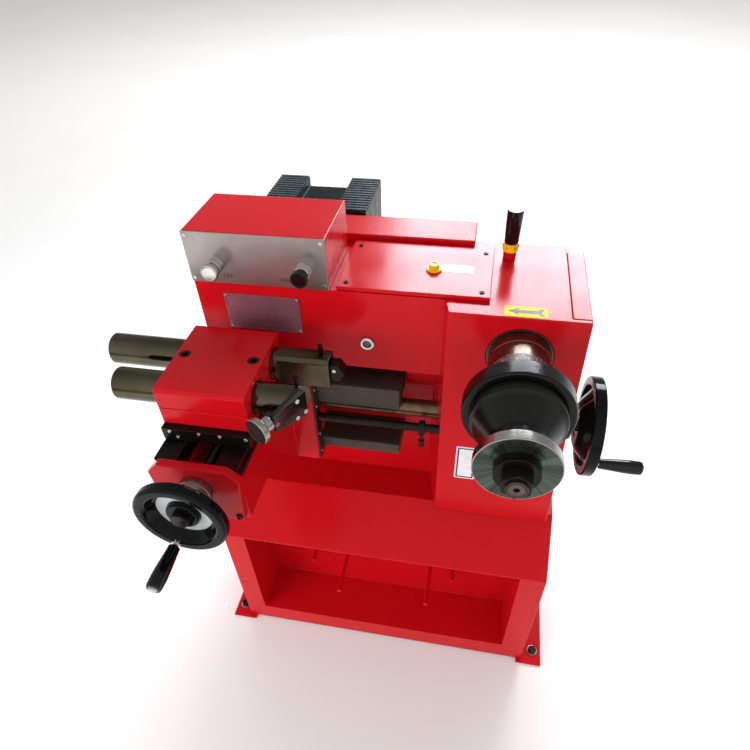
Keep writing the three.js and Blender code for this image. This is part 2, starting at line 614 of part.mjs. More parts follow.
  const cowlStart = motorFrontY + motor.length + seat;
  addPiece('fan_cover', turned([
    [0, motor.cowlRadius - motor.cowlWall], [0, motor.cowlRadius],
    [motor.cowlLength - motor.cowlWall * 2, motor.cowlRadius],
    [motor.cowlLength, motor.cowlRadius - motor.cowlWall * 3],
    [motor.cowlLength, motor.shaftRadius], [motor.cowlLength - motor.cowlWall, motor.shaftRadius],
    [motor.cowlLength - motor.cowlWall, motor.cowlRadius - motor.cowlWall * 4],
    [motor.cowlLength - motor.cowlWall * 3, motor.cowlRadius - motor.cowlWall],
  ], 'y', [motor.x, cowlStart, motor.z], roundSides, true), blackEnamel);
};

// Spindle line, inside and outside the head

const buildSpindle = () => {
  const at = (y) => [spindleX, y, spindle.z];
  const headFront = -body.headReach;
  const noseFront = headFront - spindle.noseLength - spindle.noseRingLength;
  const nutBack = bell.frontY - clampCone.length - clampCollar.length - 3 * seat;
  const nutFront = nutBack - spindleNut.length;
  const shaftBack = spindleBackY;
  // Along +Y from the spindle's front end to its back end, with a centre hole in the end face
  addPiece('spindle', turned([
    [spindle.threadRadius / 2, 0], [0, spindle.threadRadius / 3], [0, spindle.threadRadius - seat],
    [seat, spindle.threadRadius], [nutBack + seat - spindle.endY, spindle.threadRadius],
    [nutBack + seat - spindle.endY, spindle.arborRadius], [noseFront - spindle.endY, spindle.arborRadius],
    [noseFront - spindle.endY, spindle.noseRadius], [headFront - seat - spindle.endY, spindle.noseRadius],
    [headFront - seat - spindle.endY, spindle.shaftRadius], [shaftBack - spindle.endY, spindle.shaftRadius],
    [shaftBack - spindle.endY, 0],
  ], 'y', at(spindle.endY)), polishedSteel);

  // Centring bell: hub on the arbor, wide ring with a bowl behind it, then a cone down to its neck
  const bore = spindle.arborRadius + seat;
  const ringFront = bell.ringBackY - bell.ringLength;
  const along = (y) => y - bell.frontY;
  addPiece('centring_bell', turned([
    [0, bore], [0, bell.neckRadius], [bell.neckLength, bell.neckRadius],
    [along(ringFront) - bell.ringWall, bell.shoulderRadius],
    [along(ringFront), bell.shoulderRadius + bell.ringWall / 2],
    [along(ringFront), bell.ringRadius - bell.ringWall / 4],
    [along(ringFront) + bell.ringWall / 4, bell.ringRadius], [along(bell.ringBackY), bell.ringRadius],
    [along(bell.ringBackY), bell.ringRadius - bell.ringWall],
    [along(bell.ringBackY) - bell.bowlDepth, bell.hubRadius + bell.ringWall],
    [along(bell.ringBackY) - bell.bowlDepth, bell.hubRadius], [along(noseFront) - seat, bell.hubRadius],
    [along(noseFront) - seat, bore],
  ], 'y', at(bell.frontY), roundSides, true), blackEnamel);

  // Clamp cone: bright rim, hollowed front face
  const coneBack = bell.frontY - seat;
  const coneFront = coneBack - clampCone.length;
  addPiece('clamp_cone', turned([
    [clampCone.recess, bore], [clampCone.recess, clampCollar.radius + clampCone.recess],
    [clampCone.recess, clampCollar.radius + 2 * clampCone.recess], [0, clampCone.radius - seat],
    [seat, clampCone.radius], [clampCone.rim, clampCone.radius],
    [clampCone.length, clampCone.backRadius], [clampCone.length, bore],
  ], 'y', at(coneFront), roundSides, true), polishedSteel);

  const collarFront = coneFront + clampCone.recess - seat - clampCollar.length - clampCone.recess;
  addPiece('clamp_collar', turned([
    [0, bore], [0, clampCollar.radius - seat], [seat, clampCollar.radius],
    [clampCollar.length + clampCone.recess, clampCollar.radius],
    [clampCollar.length + clampCone.recess, bore],
  ], 'y', at(collarFront), roundSides, true), blackOxide);

  // Hexagon nut on the threaded end
  const corners = [];
  for (let corner = 0; corner < 6; corner += 1) {
    const angle = ((corner + 0.5) * Math.PI) / 3;
    corners.push([
      spindleX + (spindleNut.acrossCorners / 2) * Math.cos(angle),
      spindle.z + (spindleNut.acrossCorners / 2) * Math.sin(angle)]);
  }
  addPiece('spindle_nut', cut(
    pushed(corners, 'y', collarFront - seat - spindleNut.length, spindleNut.length),
    roundBar(spindle.threadRadius + seat, spindleNut.length + 2 * overrun, 'y',
      at(collarFront - seat - spindleNut.length - overrun), smallSides)), blackOxide);

  const ringOf = (innerRadius, outerRadius, start, length) => turned([
    [0, innerRadius], [0, outerRadius], [length, outerRadius], [length, innerRadius],
  ], 'y', at(start), roundSides, true);
  addPiece('front_bearing', ringOf(spindle.shaftRadius + bearing.innerGap, bearing.outerRadius,
    headFront, bearing.frontLength), castSteel);
  addPiece('rear_bearing', ringOf(spindle.shaftRadius + bearing.innerGap, bearing.rearOuterRadius,
    body.depth - bearing.rearLength, bearing.rearLength), castSteel);

  addPiece('spindle_gear', cut(
    toothedWheel(gears.spindleRadius, gears.spindleWidth, spindleX, gearFirstY, spindle.z),
    roundBar(spindle.shaftRadius + seat, gears.spindleWidth + 2 * overrun, 'y', at(gearFirstY - overrun))),
  castSteel);

  const counterFront = body.wall / 2 - body.headReach + running;
  const counterLength = body.depth - body.wall / 2 - running - counterFront;
  addPiece('countershaft', joined(
    roundBar(gears.shaftRadius, counterLength, 'y', [counterX, counterFront, counterZ], smallSides),
    toothedWheel(gears.pinionRadius, gears.spindleWidth, counterX, gearFirstY, counterZ),
    toothedWheel(gears.counterRadius, gears.width, counterX, gearSecondY, counterZ)), castSteel);
};

// Bed ways, feed screw, trip rod

const buildBed = () => {
  const depth = body.backWallY - seat - way.frontY;
  const relief = way.relief;
  const profile = (top, height) => [
    [way.frontY, top - height], [way.frontY + depth, top - height], [way.frontY + depth, top],
    [way.frontY + relief, top], [way.frontY, top - relief / 3],
  ];
  addPiece('upper_way', pushed(profile(way.upperTop, way.upperHeight), 'x', 0, wayLength), groundIron);
  addPiece('lower_way', pushed(profile(way.lowerTop, way.lowerHeight), 'x', 0, wayLength), groundIron);

  const wheelSeat = wheelX + feedWheel.rimDepth / 2;
  const gearStart = coverLeft + gearCover.wall;
  addPiece('feed_screw', turned([
    [0, 0], [0, feed.radius - running], [running, feed.radius], [shoulderX - feed.left, feed.radius],
    [shoulderX - feed.left, feed.journalRadius], [gearStart - feed.left, feed.journalRadius],
    [gearStart - feed.left, feed.gearRadius], [gearStart + feed.gearWidth - feed.left, feed.gearRadius],
    [gearStart + feed.gearWidth - feed.left, feed.journalRadius], [wheelSeat - feed.left, feed.journalRadius],
    [wheelSeat - feed.left, 0],
  ], 'x', [feed.left, feed.y, feed.z]), bronze);

  addPiece('trip_rod', roundBar(trip.radius, body.bedLength + trip.socket - seat - trip.left, 'x',
    [trip.left, trip.y, trip.z], smallSides), blackOxide);
  addPiece('stop_collar', turned([
    [0, trip.radius + seat], [0, trip.collarRadius], [trip.collarLength, trip.collarRadius],
    [trip.collarLength, trip.radius + seat],
  ], 'x', [collarX, trip.y, trip.z], smallSides, true), blackOxide);

  // Hub flange, trimmed to the leaning side of the gear cover
  const hubLeft = headRightAt(feed.z) - overrun;
  const hub = turned([
    [0, feed.journalRadius + running], [0, feed.hubRadius], [overrun + feed.hubLength, feed.hubRadius],
    [overrun + feed.hubLength, feed.journalRadius + running],
  ], 'x', [hubLeft, feed.y, feed.z], roundSides, true);
  const side = pushed([
    [coverLeft, -body.height], [headRightAt(-body.height) + seat, -body.height], [headRightAt(0) + seat, 0],
    [coverLeft, 0]], 'y', -body.headReach, body.depth + body.headReach);
  addPiece('feed_hub', cut(hub, side), blackEnamel);
};

// Handwheels

// A crank grip: its pin starts inside the rim, at the place given
const crankGrip = (axis, place, direction, pinLength) => {
  const end = pinLength + grip.length;
  const profile = [
    [0, 0], [0, grip.pinRadius], [pinLength, grip.pinRadius], [pinLength, grip.rootRadius],
    [pinLength + grip.length * grip.widestShare, grip.radius], [end, grip.radius - running],
    [end, grip.capRadius], [end + grip.capRadius / 2, grip.capRadius], [end + grip.capRadius / 2, 0],
  ];
  const points = direction > 0 ? profile : profile.map(([along, radius]) => [-along, radius]).reverse();
  return turned(points, axis, place, smallSides);
};

const buildFeedWheel = () => {
  const { radius, rimWidth, rimDepth, hubRadius, hubLength, dish, webInset, webDish } = feedWheel;
  const inner = radius - rimWidth;
  const start = wheelX - rimDepth / 2;
  const place = [start, feed.y, feed.z];
  const round = feedWheel.rimRound;
  const rim = turned([
    [round, inner], [0, inner + round], [0, radius - round], [round, radius], [rimDepth - round, radius],
    [rimDepth, radius - round], [rimDepth, inner + round], [rimDepth - round, inner],
  ], 'x', place, roundSides, true);
  const hub = roundBar(hubRadius, hubLength, 'x', [start - dish + rimDepth / 2, feed.y, feed.z]);
  const dished = [[webInset - webDish, hubRadius - running], [webInset - webDish, feedWheel.webFlatRadius],
    [webInset, inner + running]];
  const behind = dished.map(([along, at]) => [along + feedWheel.webThickness, at]).reverse();
  const web = turned([...dished, ...behind], 'x', place, roundSides, true);
  const bore = roundBar(feed.journalRadius + seat, 2 * hubLength, 'x', [start - hubLength, feed.y, feed.z],
    smallSides);
  const turn = (feedWheel.gripAngle * Math.PI) / 180;
  const pinAt = (x) => [x, feed.y - feedWheel.gripPitch * Math.cos(turn),
    feed.z - feedWheel.gripPitch * Math.sin(turn)];
  const pinHole = roundBar(grip.pinRadius + seat, rimDepth + 2 * overrun, 'x', pinAt(start - overrun),
    smallSides);
  addPiece('feed_handwheel', cut(joined(rim, hub, web), bore, pinHole), blackEnamel);
  addPiece('feed_crank_grip', crankGrip('x', pinAt(start + running), 1,
    rimDepth - running + feedWheel.pinReach),
    blackPlastic);
};

const crossStripFront = carriage.armFrontY;
const bracketFront = crossStripFront - seat - cross.bracketThickness;
const dialFront = bracketFront - seat - cross.dialLength;
const wheelBack = dialFront - seat;

const wheelFront = wheelBack - crossWheel.webBack - crossWheel.webThickness - crossWheel.rimDepth + seat;

const buildCrossWheel = () => {
  const w = crossWheel;
  const inner = w.radius - w.rimWidth;
  const webInner = inner - w.taper;
  const bore = cross.screwRadius + seat;
  const webFront = w.rimDepth;
  const webRear = webFront + w.webThickness;
  const hubRear = wheelBack - wheelFront;
  const round = w.rimWidth / 5;
  addPiece('cross_handwheel', cut(turned([
    [hubRear, bore], [webFront - w.hubReach, bore], [webFront - w.hubReach, w.hubRadius - round / 2],
    [webFront - w.hubReach + round / 2, w.hubRadius], [webFront, w.hubRadius], [webFront, webInner],
    [round, inner], [0, inner + round], [0, w.radius - round], [round, w.radius],
    [w.rimDepth - round, w.radius],
    [w.rimDepth, w.radius - round], [w.rimDepth, inner], [webRear, webInner], [webRear, w.hubBackRadius],
    [hubRear, w.hubBackRadius],
  ], 'y', [cross.x, wheelFront, cross.z], roundSides, true),
  roundBar(grip.pinRadius + seat, w.rimDepth + 2 * overrun, 'y', gripPlace(wheelFront - overrun),
    smallSides)),
  blackEnamel);
  addPiece('cross_crank_grip', crankGrip('y', gripPlace(wheelFront + w.rimDepth - running), -1,
    w.rimDepth - running + w.pinReach), blackPlastic);
};

const gripTurn = (crossWheel.gripAngle * Math.PI) / 180;   // the crank hangs a little left of straight down
const gripPlace = (y) => [
  cross.x + crossWheel.gripPitch * Math.sin(gripTurn), y,
    cross.z - crossWheel.gripPitch * Math.cos(gripTurn)];

// Carriage and cross slide

const buildCarriage = () => {
  const c = carriage;
  const gap = running;
  const wayBottom = way.upperTop - way.upperHeight;
  const lowBottom = way.lowerTop - way.lowerHeight;
  const frontWall = boxFrom(c.left, c.frontY, c.bottomZ, c.length, way.frontY - gap - c.frontY,
    c.topZ - c.bottomZ);
  const upperLip = boxFrom(c.left, c.frontY, way.upperTop + gap, c.length, c.lipBackY - c.frontY,
    c.topZ - way.upperTop - gap);
  const lowerLip = boxFrom(c.left, c.frontY, c.bottomZ, c.length, c.footBackY - c.frontY,
    lowBottom - gap - c.bottomZ);
  const halfNut = boxFrom(c.left, c.frontY, way.lowerTop + gap, c.length, c.lipBackY - c.frontY,
    feed.z - way.lowerTop - gap);
  const armRight = c.armLeft + c.armWidth;
  const arm = pushed([
    [c.armFrontY, c.armBottomZ], [c.gussetY, c.armBottomZ], [c.frontY, c.bottomZ],
    [c.frontY + (way.frontY - c.frontY) / 2, c.bottomZ], [c.frontY + (way.frontY - c.frontY) / 2, c.topZ],
    [c.armFrontY, c.topZ],
  ], 'x', c.armLeft, c.armWidth);
  const groove = boxFrom(cross.x - c.grooveWidth / 2, c.armFrontY - overrun, c.topZ - c.grooveDepth,
    c.grooveWidth,
    c.frontY - c.armFrontY, c.grooveDepth + overrun);
  const screwBore = roundBar(feed.radius + running, c.length + 2 * overrun, 'x',
    [c.left - overrun, feed.y, feed.z]);
  const rodBore = roundBar(trip.radius + running, c.length + 2 * overrun, 'x',
    [c.left - overrun, trip.y, trip.z],
    smallSides);
  addPiece('carriage', cut(joined(frontWall, upperLip, lowerLip, halfNut, arm), groove, screwBore, rodBore),
    redEnamel);

  const wiperRight = c.left + c.length + seat;
  const inset = c.wiperInset;
  const wiper = pushed([
    [c.frontY + inset, c.bottomZ + inset], [c.footBackY, c.bottomZ + inset], [c.footBackY, lowBottom - gap],
    [way.frontY - gap, lowBottom - gap], [way.frontY - gap, way.upperTop + gap],
    [c.lipBackY, way.upperTop + gap], [c.lipBackY, c.topZ - inset], [c.frontY + inset, c.topZ - inset],
  ], 'x', wiperRight, c.wiperThickness);
  const wiperRod = roundBar(trip.radius + running, c.wiperThickness + 2 * overrun, 'x',
    [wiperRight - overrun, trip.y, trip.z], smallSides);
  addPiece('carriage_wiper', cut(wiper, wiperRod), rubber);

  // Dovetail strips, undercut on their outer sides
  const bottom = c.topZ + seat;
  const stripLength = strip.backY - crossStripFront;
  const outline = (outerX, side) => [
    [outerX, bottom + strip.height], [outerX + side * strip.undercut, bottom + strip.height / 3],
    [outerX + side * strip.undercut / 4, bottom + strip.height / 5],
    [outerX + side * strip.undercut / 4, bottom],
    [outerX + side * strip.width, bottom], [outerX + side * strip.width, bottom + strip.height],
  ];
  addPiece('dovetail_left', pushed(outline(c.armLeft, 1), 'y', crossStripFront, stripLength), blackOxide);
  addPiece('dovetail_right', pushed(outline(armRight, -1).reverse(), 'y', crossStripFront, stripLength),
    blackOxide);

  // End bracket
  const bracket = pushed([
    [cross.bracketLeft + cross.bracketTaper, cross.bracketBottomZ],
    [cross.bracketRight - cross.bracketTaper, cross.bracketBottomZ],
    [cross.bracketRight, cross.bracketTopZ - cross.bracketChamfer],
    [cross.bracketRight - cross.bracketChamfer, cross.bracketTopZ],
    [cross.bracketLeft + cross.bracketChamfer, cross.bracketTopZ],
    [cross.bracketLeft, cross.bracketTopZ - cross.bracketChamfer],
  ], 'y', bracketFront, cross.bracketThickness);
  addPiece('end_bracket', cut(bracket, roundBar(cross.screwRadius + running,
    cross.bracketThickness + 2 * overrun, 'y',
    [cross.x, bracketFront - overrun, cross.z], smallSides)), redEnamel);

  // Cross screw with its hub nut, and the dial
  const screwFront = wheelFront + running;
  const screwBack = c.frontY - 2 * overrun;
  const nutLength = crossWheel.rimDepth - crossWheel.hubReach - running - seat;
  addPiece('cross_screw', turned([
    [0, 0], [0, cross.nutRadius], [nutLength, cross.nutRadius], [nutLength, cross.screwRadius],
    [screwBack - screwFront, cross.screwRadius], [screwBack - screwFront, 0],
  ], 'y', [cross.x, screwFront, cross.z], smallSides), polishedSteel);
  addPiece('dial', turned([
    [0, cross.screwRadius + seat], [0, cross.dialRadius - running], [running, cross.dialRadius],
    [cross.dialLength - running, cross.dialRadius], [cross.dialLength, cross.dialRadius - running],
    [cross.dialLength, cross.screwRadius + seat],
  ], 'y', [cross.x, dialFront, cross.z], roundSides, true), brushedAluminium);
};

const slideBottom = carriage.topZ + strip.height + 2 * seat;
const slideTop = slideBottom + slide.height - seat;

const buildSlide = () => {
  const saddle = boxFrom(slide.left, slide.frontY, slideBottom, slide.width, slide.backY - slide.frontY,
    slideTop - slideBottom);
  const nutY = slide.backY - nut.backInset;
  const hanger = boxFrom(cross.x - nut.width / 2, nutY, slideBottom - nut.depth, nut.width, nut.length,
    nut.depth + overrun);
  const bore = roundBar(cross.screwRadius + running, nut.length + 2 * overrun, 'y',
    [cross.x, nutY - overrun, cross.z],
    smallSides);
  const rodSockets = clampBoltPlaces().map(([x, y]) =>
    roundBar(clampBolt.shankRadius + seat, slide.height, 'z',
      [x, y, slideTop - slide.height * slide.socketShare], smallSides));
  addPiece('cross_slide', cut(joined(saddle, hanger), bore, ...rodSockets), blackOxide);

  const wiperFront = slide.frontY - seat - slide.wiperThickness;
  addPiece('slide_wiper', boxFrom(slide.left, wiperFront, slideBottom, slide.width, slide.wiperThickness,
    slideTop - slideBottom), blackOxide);
};

// Tool block, bars and cutters

const clampBoltPlaces = () => {
  const y = (bar.frontY + bar.rearY) / 2;
  return [[block.left + clampBolt.inset, y], [block.left + block.width - clampBolt.inset - seat, y]];
};

const buildBlock = () => {
  const bottom = slideTop + seat;
  const depth = block.backY - block.frontY;
  const barBores = [bar.frontY, bar.rearY].map((y) => roundBar(bar.radius + seat, block.width + 2 * overrun,
    'x',
    [block.left - overrun, y, block.barZ]));
  const shanks = clampBoltPlaces().map(([x, y]) => roundBar(clampBolt.shankRadius + seat,
    block.topZ - bottom + 2 * overrun, 'z', [x, y, bottom - overrun], smallSides));
  const heads = clampBoltPlaces().map(([x, y]) => roundBar(clampBolt.headRadius + seat,
    clampBolt.headHeight + overrun + seat, 'z', [x, y, block.topZ - clampBolt.headHeight - 3 * seat],
      smallSides));
  const lower = boxFrom(block.left, block.frontY, bottom, block.width, depth, block.barZ - bottom - seat / 2);
  addPiece('tool_block_lower', cut(lower, ...barBores, ...shanks), redEnamel);

  const chamfer = block.chamfer;
  const upper = pushed([
    [block.frontY, block.barZ + seat / 2], [block.backY, block.barZ + seat / 2], [block.backY, block.topZ],
    [block.frontY + chamfer, block.topZ], [block.frontY, block.topZ - chamfer],
  ], 'x', block.left, block.width);
  addPiece('tool_block_upper', cut(upper, ...barBores, ...shanks, ...heads), redEnamel);

  clampBoltPlaces().forEach(([x, y], index) => {
    const top = block.topZ - clampBolt.headHeight - 2 * seat;
    addPiece(`clamp_bolt_${index + 1}`, turned([
      [-clampBolt.shankLength, 0], [-clampBolt.shankLength, clampBolt.shankRadius],
      [0, clampBolt.shankRadius],
      [0, clampBolt.headRadius], [clampBolt.headHeight, clampBolt.headRadius],
      [clampBolt.headHeight, clampBolt.socket], [clampBolt.headHeight / 2, clampBolt.socket],
      [clampBolt.headHeight / 2, 0],
    ], 'z', [x, y, top], smallSides), blackOxide);
  });
};

// Turns a shape with the tool plate, whose back passes through the middle of the front bar's slanted end
const onPlate = (geometry) => geometry.rotateZ((-toolPlate.lean * Math.PI) / 180).translate(
  bar.frontRight, bar.frontY, block.barZ);

const buildBars = () => {
  const chamfer = bar.chamfer;
  const barProfile = (length) => [
    [0, 0], [0, bar.radius - chamfer], [chamfer, bar.radius], [length - chamfer, bar.radius],
    [length, bar.radius - chamfer], [length, 0],
  ];
  const longBar = turned(barProfile(bar.frontRight + bar.radius - bar.frontLeft), 'x',
    [bar.frontLeft, bar.frontY, block.barZ]);
  const reach = 2 * bar.radius;
  const beyond = onPlate(boxFrom(-seat, -reach, -reach, 2 * reach, 2 * reach, 2 * reach));
  addPiece('front_tool_bar', cut(longBar, beyond), polishedSteel);

  const holderLeft = bar.rearRight - bar.holderLength;
  const holder = boxFrom(holderLeft, bar.rearY - bar.holderDepth / 2, block.barZ - bar.radius,
    bar.holderLength,
    bar.holderDepth, 2 * bar.radius);
  const round = turned(barProfile(holderLeft + chamfer - bar.rearLeft), 'x',
    [bar.rearLeft, bar.rearY, block.barZ]);
  addPiece('rear_tool_bar', joined(round, holder), polishedSteel);

  const toolLeft = bar.rearRight + seat;
  addPiece('rear_cutter', pushed([
    [toolLeft, block.barZ - rearTool.height / 2],
    [toolLeft + rearTool.length, block.barZ - rearTool.height / 2],
    [toolLeft + rearTool.length + rearTool.tip, block.barZ],
    [toolLeft + rearTool.length, block.barZ + rearTool.height / 2],
    [toolLeft, block.barZ + rearTool.height / 2],
  ], 'y', bar.rearY - rearTool.width / 2, rearTool.width), blackOxide);
};

const buildToolPlate = () => {
  const p = toolPlate;
  const plate = pushed([
    [p.front, p.noseBottom], [p.back, p.backBottom], [p.back, p.backTop], [p.peakY, p.peakZ],
    [p.front, p.noseTop],
  ], 'x', 0, p.thickness);
  const ear = boxFrom(-p.ear, p.front, -p.earHeight / 2, p.ear + p.thickness / 2, p.earWidth, p.earHeight);
  addPiece('tool_plate', onPlate(joined(plate, ear)), blackOxide);

  const stemStart = p.front - seat;
  const profile = [
    [stemStart, 0], [stemStart, knob.stemRadius], [stemStart - knob.stemLength, knob.stemRadius],
    [stemStart - knob.stemLength, knob.neckRadius],
    [stemStart - knob.stemLength - knob.neckLength, knob.neckRadius],
    [stemStart - knob.stemLength - knob.neckLength, knob.radius],
    [stemStart - knob.stemLength - knob.neckLength - knob.thickness, knob.radius],
    [stemStart - knob.stemLength - knob.neckLength - knob.thickness, 0],
  ].reverse();
  addPiece('tool_knob', onPlate(turned(profile, 'y', [-knob.offset, 0, 0], roundSides)), brushedAluminium);
};

buildBase();
buildBody();
buildTop();
buildControls();
buildDrive();
buildSpindle();
buildBed();
buildFeedWheel();
buildCarriage();
buildCrossWheel();
buildSlide();
buildBlock();
buildBars();
buildToolPlate();

// Origin at the bottom centre of the bounding box
const bounds = new THREE.Box3().setFromObject(lathe);
const middle = bounds.getCenter(new THREE.Vector3());
lathe.position.set(-middle.x, -middle.y, -bounds.min.z);

export default lathe;
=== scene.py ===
"""The dressed model of a brake lathe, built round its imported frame.

Every size is in millimetres of the drawing frame, whose corner is the upper left front of the machine
body, and becomes metres of the row frame when a mesh is finished.
"""

import json
import logging
import math
from dataclasses import dataclass
from enum import Enum
from typing import Any, Callable, Sequence

import bmesh
import bpy
from mathutils import Matrix, Vector


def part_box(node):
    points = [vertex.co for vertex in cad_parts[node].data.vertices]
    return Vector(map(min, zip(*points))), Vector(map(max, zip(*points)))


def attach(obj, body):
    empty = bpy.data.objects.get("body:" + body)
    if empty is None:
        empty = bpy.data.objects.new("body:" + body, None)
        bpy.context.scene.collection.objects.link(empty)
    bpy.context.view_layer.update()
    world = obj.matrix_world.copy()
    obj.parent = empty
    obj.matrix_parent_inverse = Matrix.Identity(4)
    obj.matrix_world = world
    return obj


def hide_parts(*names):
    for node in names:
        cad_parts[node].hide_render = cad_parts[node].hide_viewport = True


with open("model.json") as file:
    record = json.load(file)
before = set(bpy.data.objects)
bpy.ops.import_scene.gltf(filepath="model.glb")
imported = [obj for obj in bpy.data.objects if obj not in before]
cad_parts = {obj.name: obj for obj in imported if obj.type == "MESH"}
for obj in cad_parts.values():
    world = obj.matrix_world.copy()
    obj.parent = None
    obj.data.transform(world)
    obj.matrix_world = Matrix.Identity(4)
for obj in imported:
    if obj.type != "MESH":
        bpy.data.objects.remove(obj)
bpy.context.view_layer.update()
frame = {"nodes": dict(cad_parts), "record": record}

logging.basicConfig(level=logging.INFO, format="%(message)s")
log = logging.getLogger("lathe")

MM = 0.001        # metres in a millimetre
SEAT = 0.3        # gap that keeps two seated pieces apart
BOX_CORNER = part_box("control_box")[0]
ORIGIN = Vector((BOX_CORNER.x, BOX_CORNER.y, BOX_CORNER.z - SEAT * MM))

# Which way fastener heads face, and the turn that lays what is made along +Z along +Y
UP, FORWARD, RIGHT = ((0, 0, 1),), ((0, -1, 0),), ((1, 0, 0),)
TO_REAR = (-math.pi / 2, 0.0, 0.0)

Profile = Sequence[tuple[float, float]]
Place = tuple[float, float, float]


# Nodes


def add_node(tree: bpy.types.NodeTree, kind: str, values: dict[Any, Any] | None = None) -> Any:
    """Adds a node, sets its values and joins its inputs.

    Args:
        tree: the node tree.
        kind: the node's type name.
        values: lower-case keys are the node's properties. The others are its inputs, by name or number,
            each with a plain value or with the output socket that feeds it.

    Returns:
        The new node.
    """
    node = tree.nodes.new(kind)
    inputs = {}
    for key, value in (values or {}).items():
        if isinstance(key, str) and key[0].islower():
            setattr(node, key, value)
        else:
            inputs[key] = value
    for key, value in inputs.items():
        if isinstance(value, bpy.types.NodeSocket):
            tree.links.new(value, node.inputs[key])
        else:
            node.inputs[key].default_value = value
    return node


def linear(hex_colour: str) -> tuple[float, float, float, float]:
    """Turns an sRGB hex value into linear RGBA.

    Args:
        hex_colour: the colour, such as "c8161f".

    Returns:
        The linear colour with full alpha.
    """
    parts = [int(hex_colour[place:place + 2], 16) / 255 for place in (0, 2, 4)]
    red, green, blue = (p / 12.92 if p <= 0.04045 else ((p + 0.055) / 1.055) ** 2.4 for p in parts)
    return (red, green, blue, 1.0)


# Finishes


class Grain(Enum):
    """How a surface was made, which gives its pattern a direction."""

    EVEN = "even"              # cast, sprayed or moulded
    ALONG_X = "along_x"        # brushed or ground along the bed
    ALONG_Y = "along_y"
    TURNED_X = "turned_x"      # turned or ground round an axis along the bed
    TURNED_Y = "turned_y"      # turned round an axis towards the user
    FANNED_Y = "fanned_y"      # fanned out from that axis; as colour, painted highlight streaks
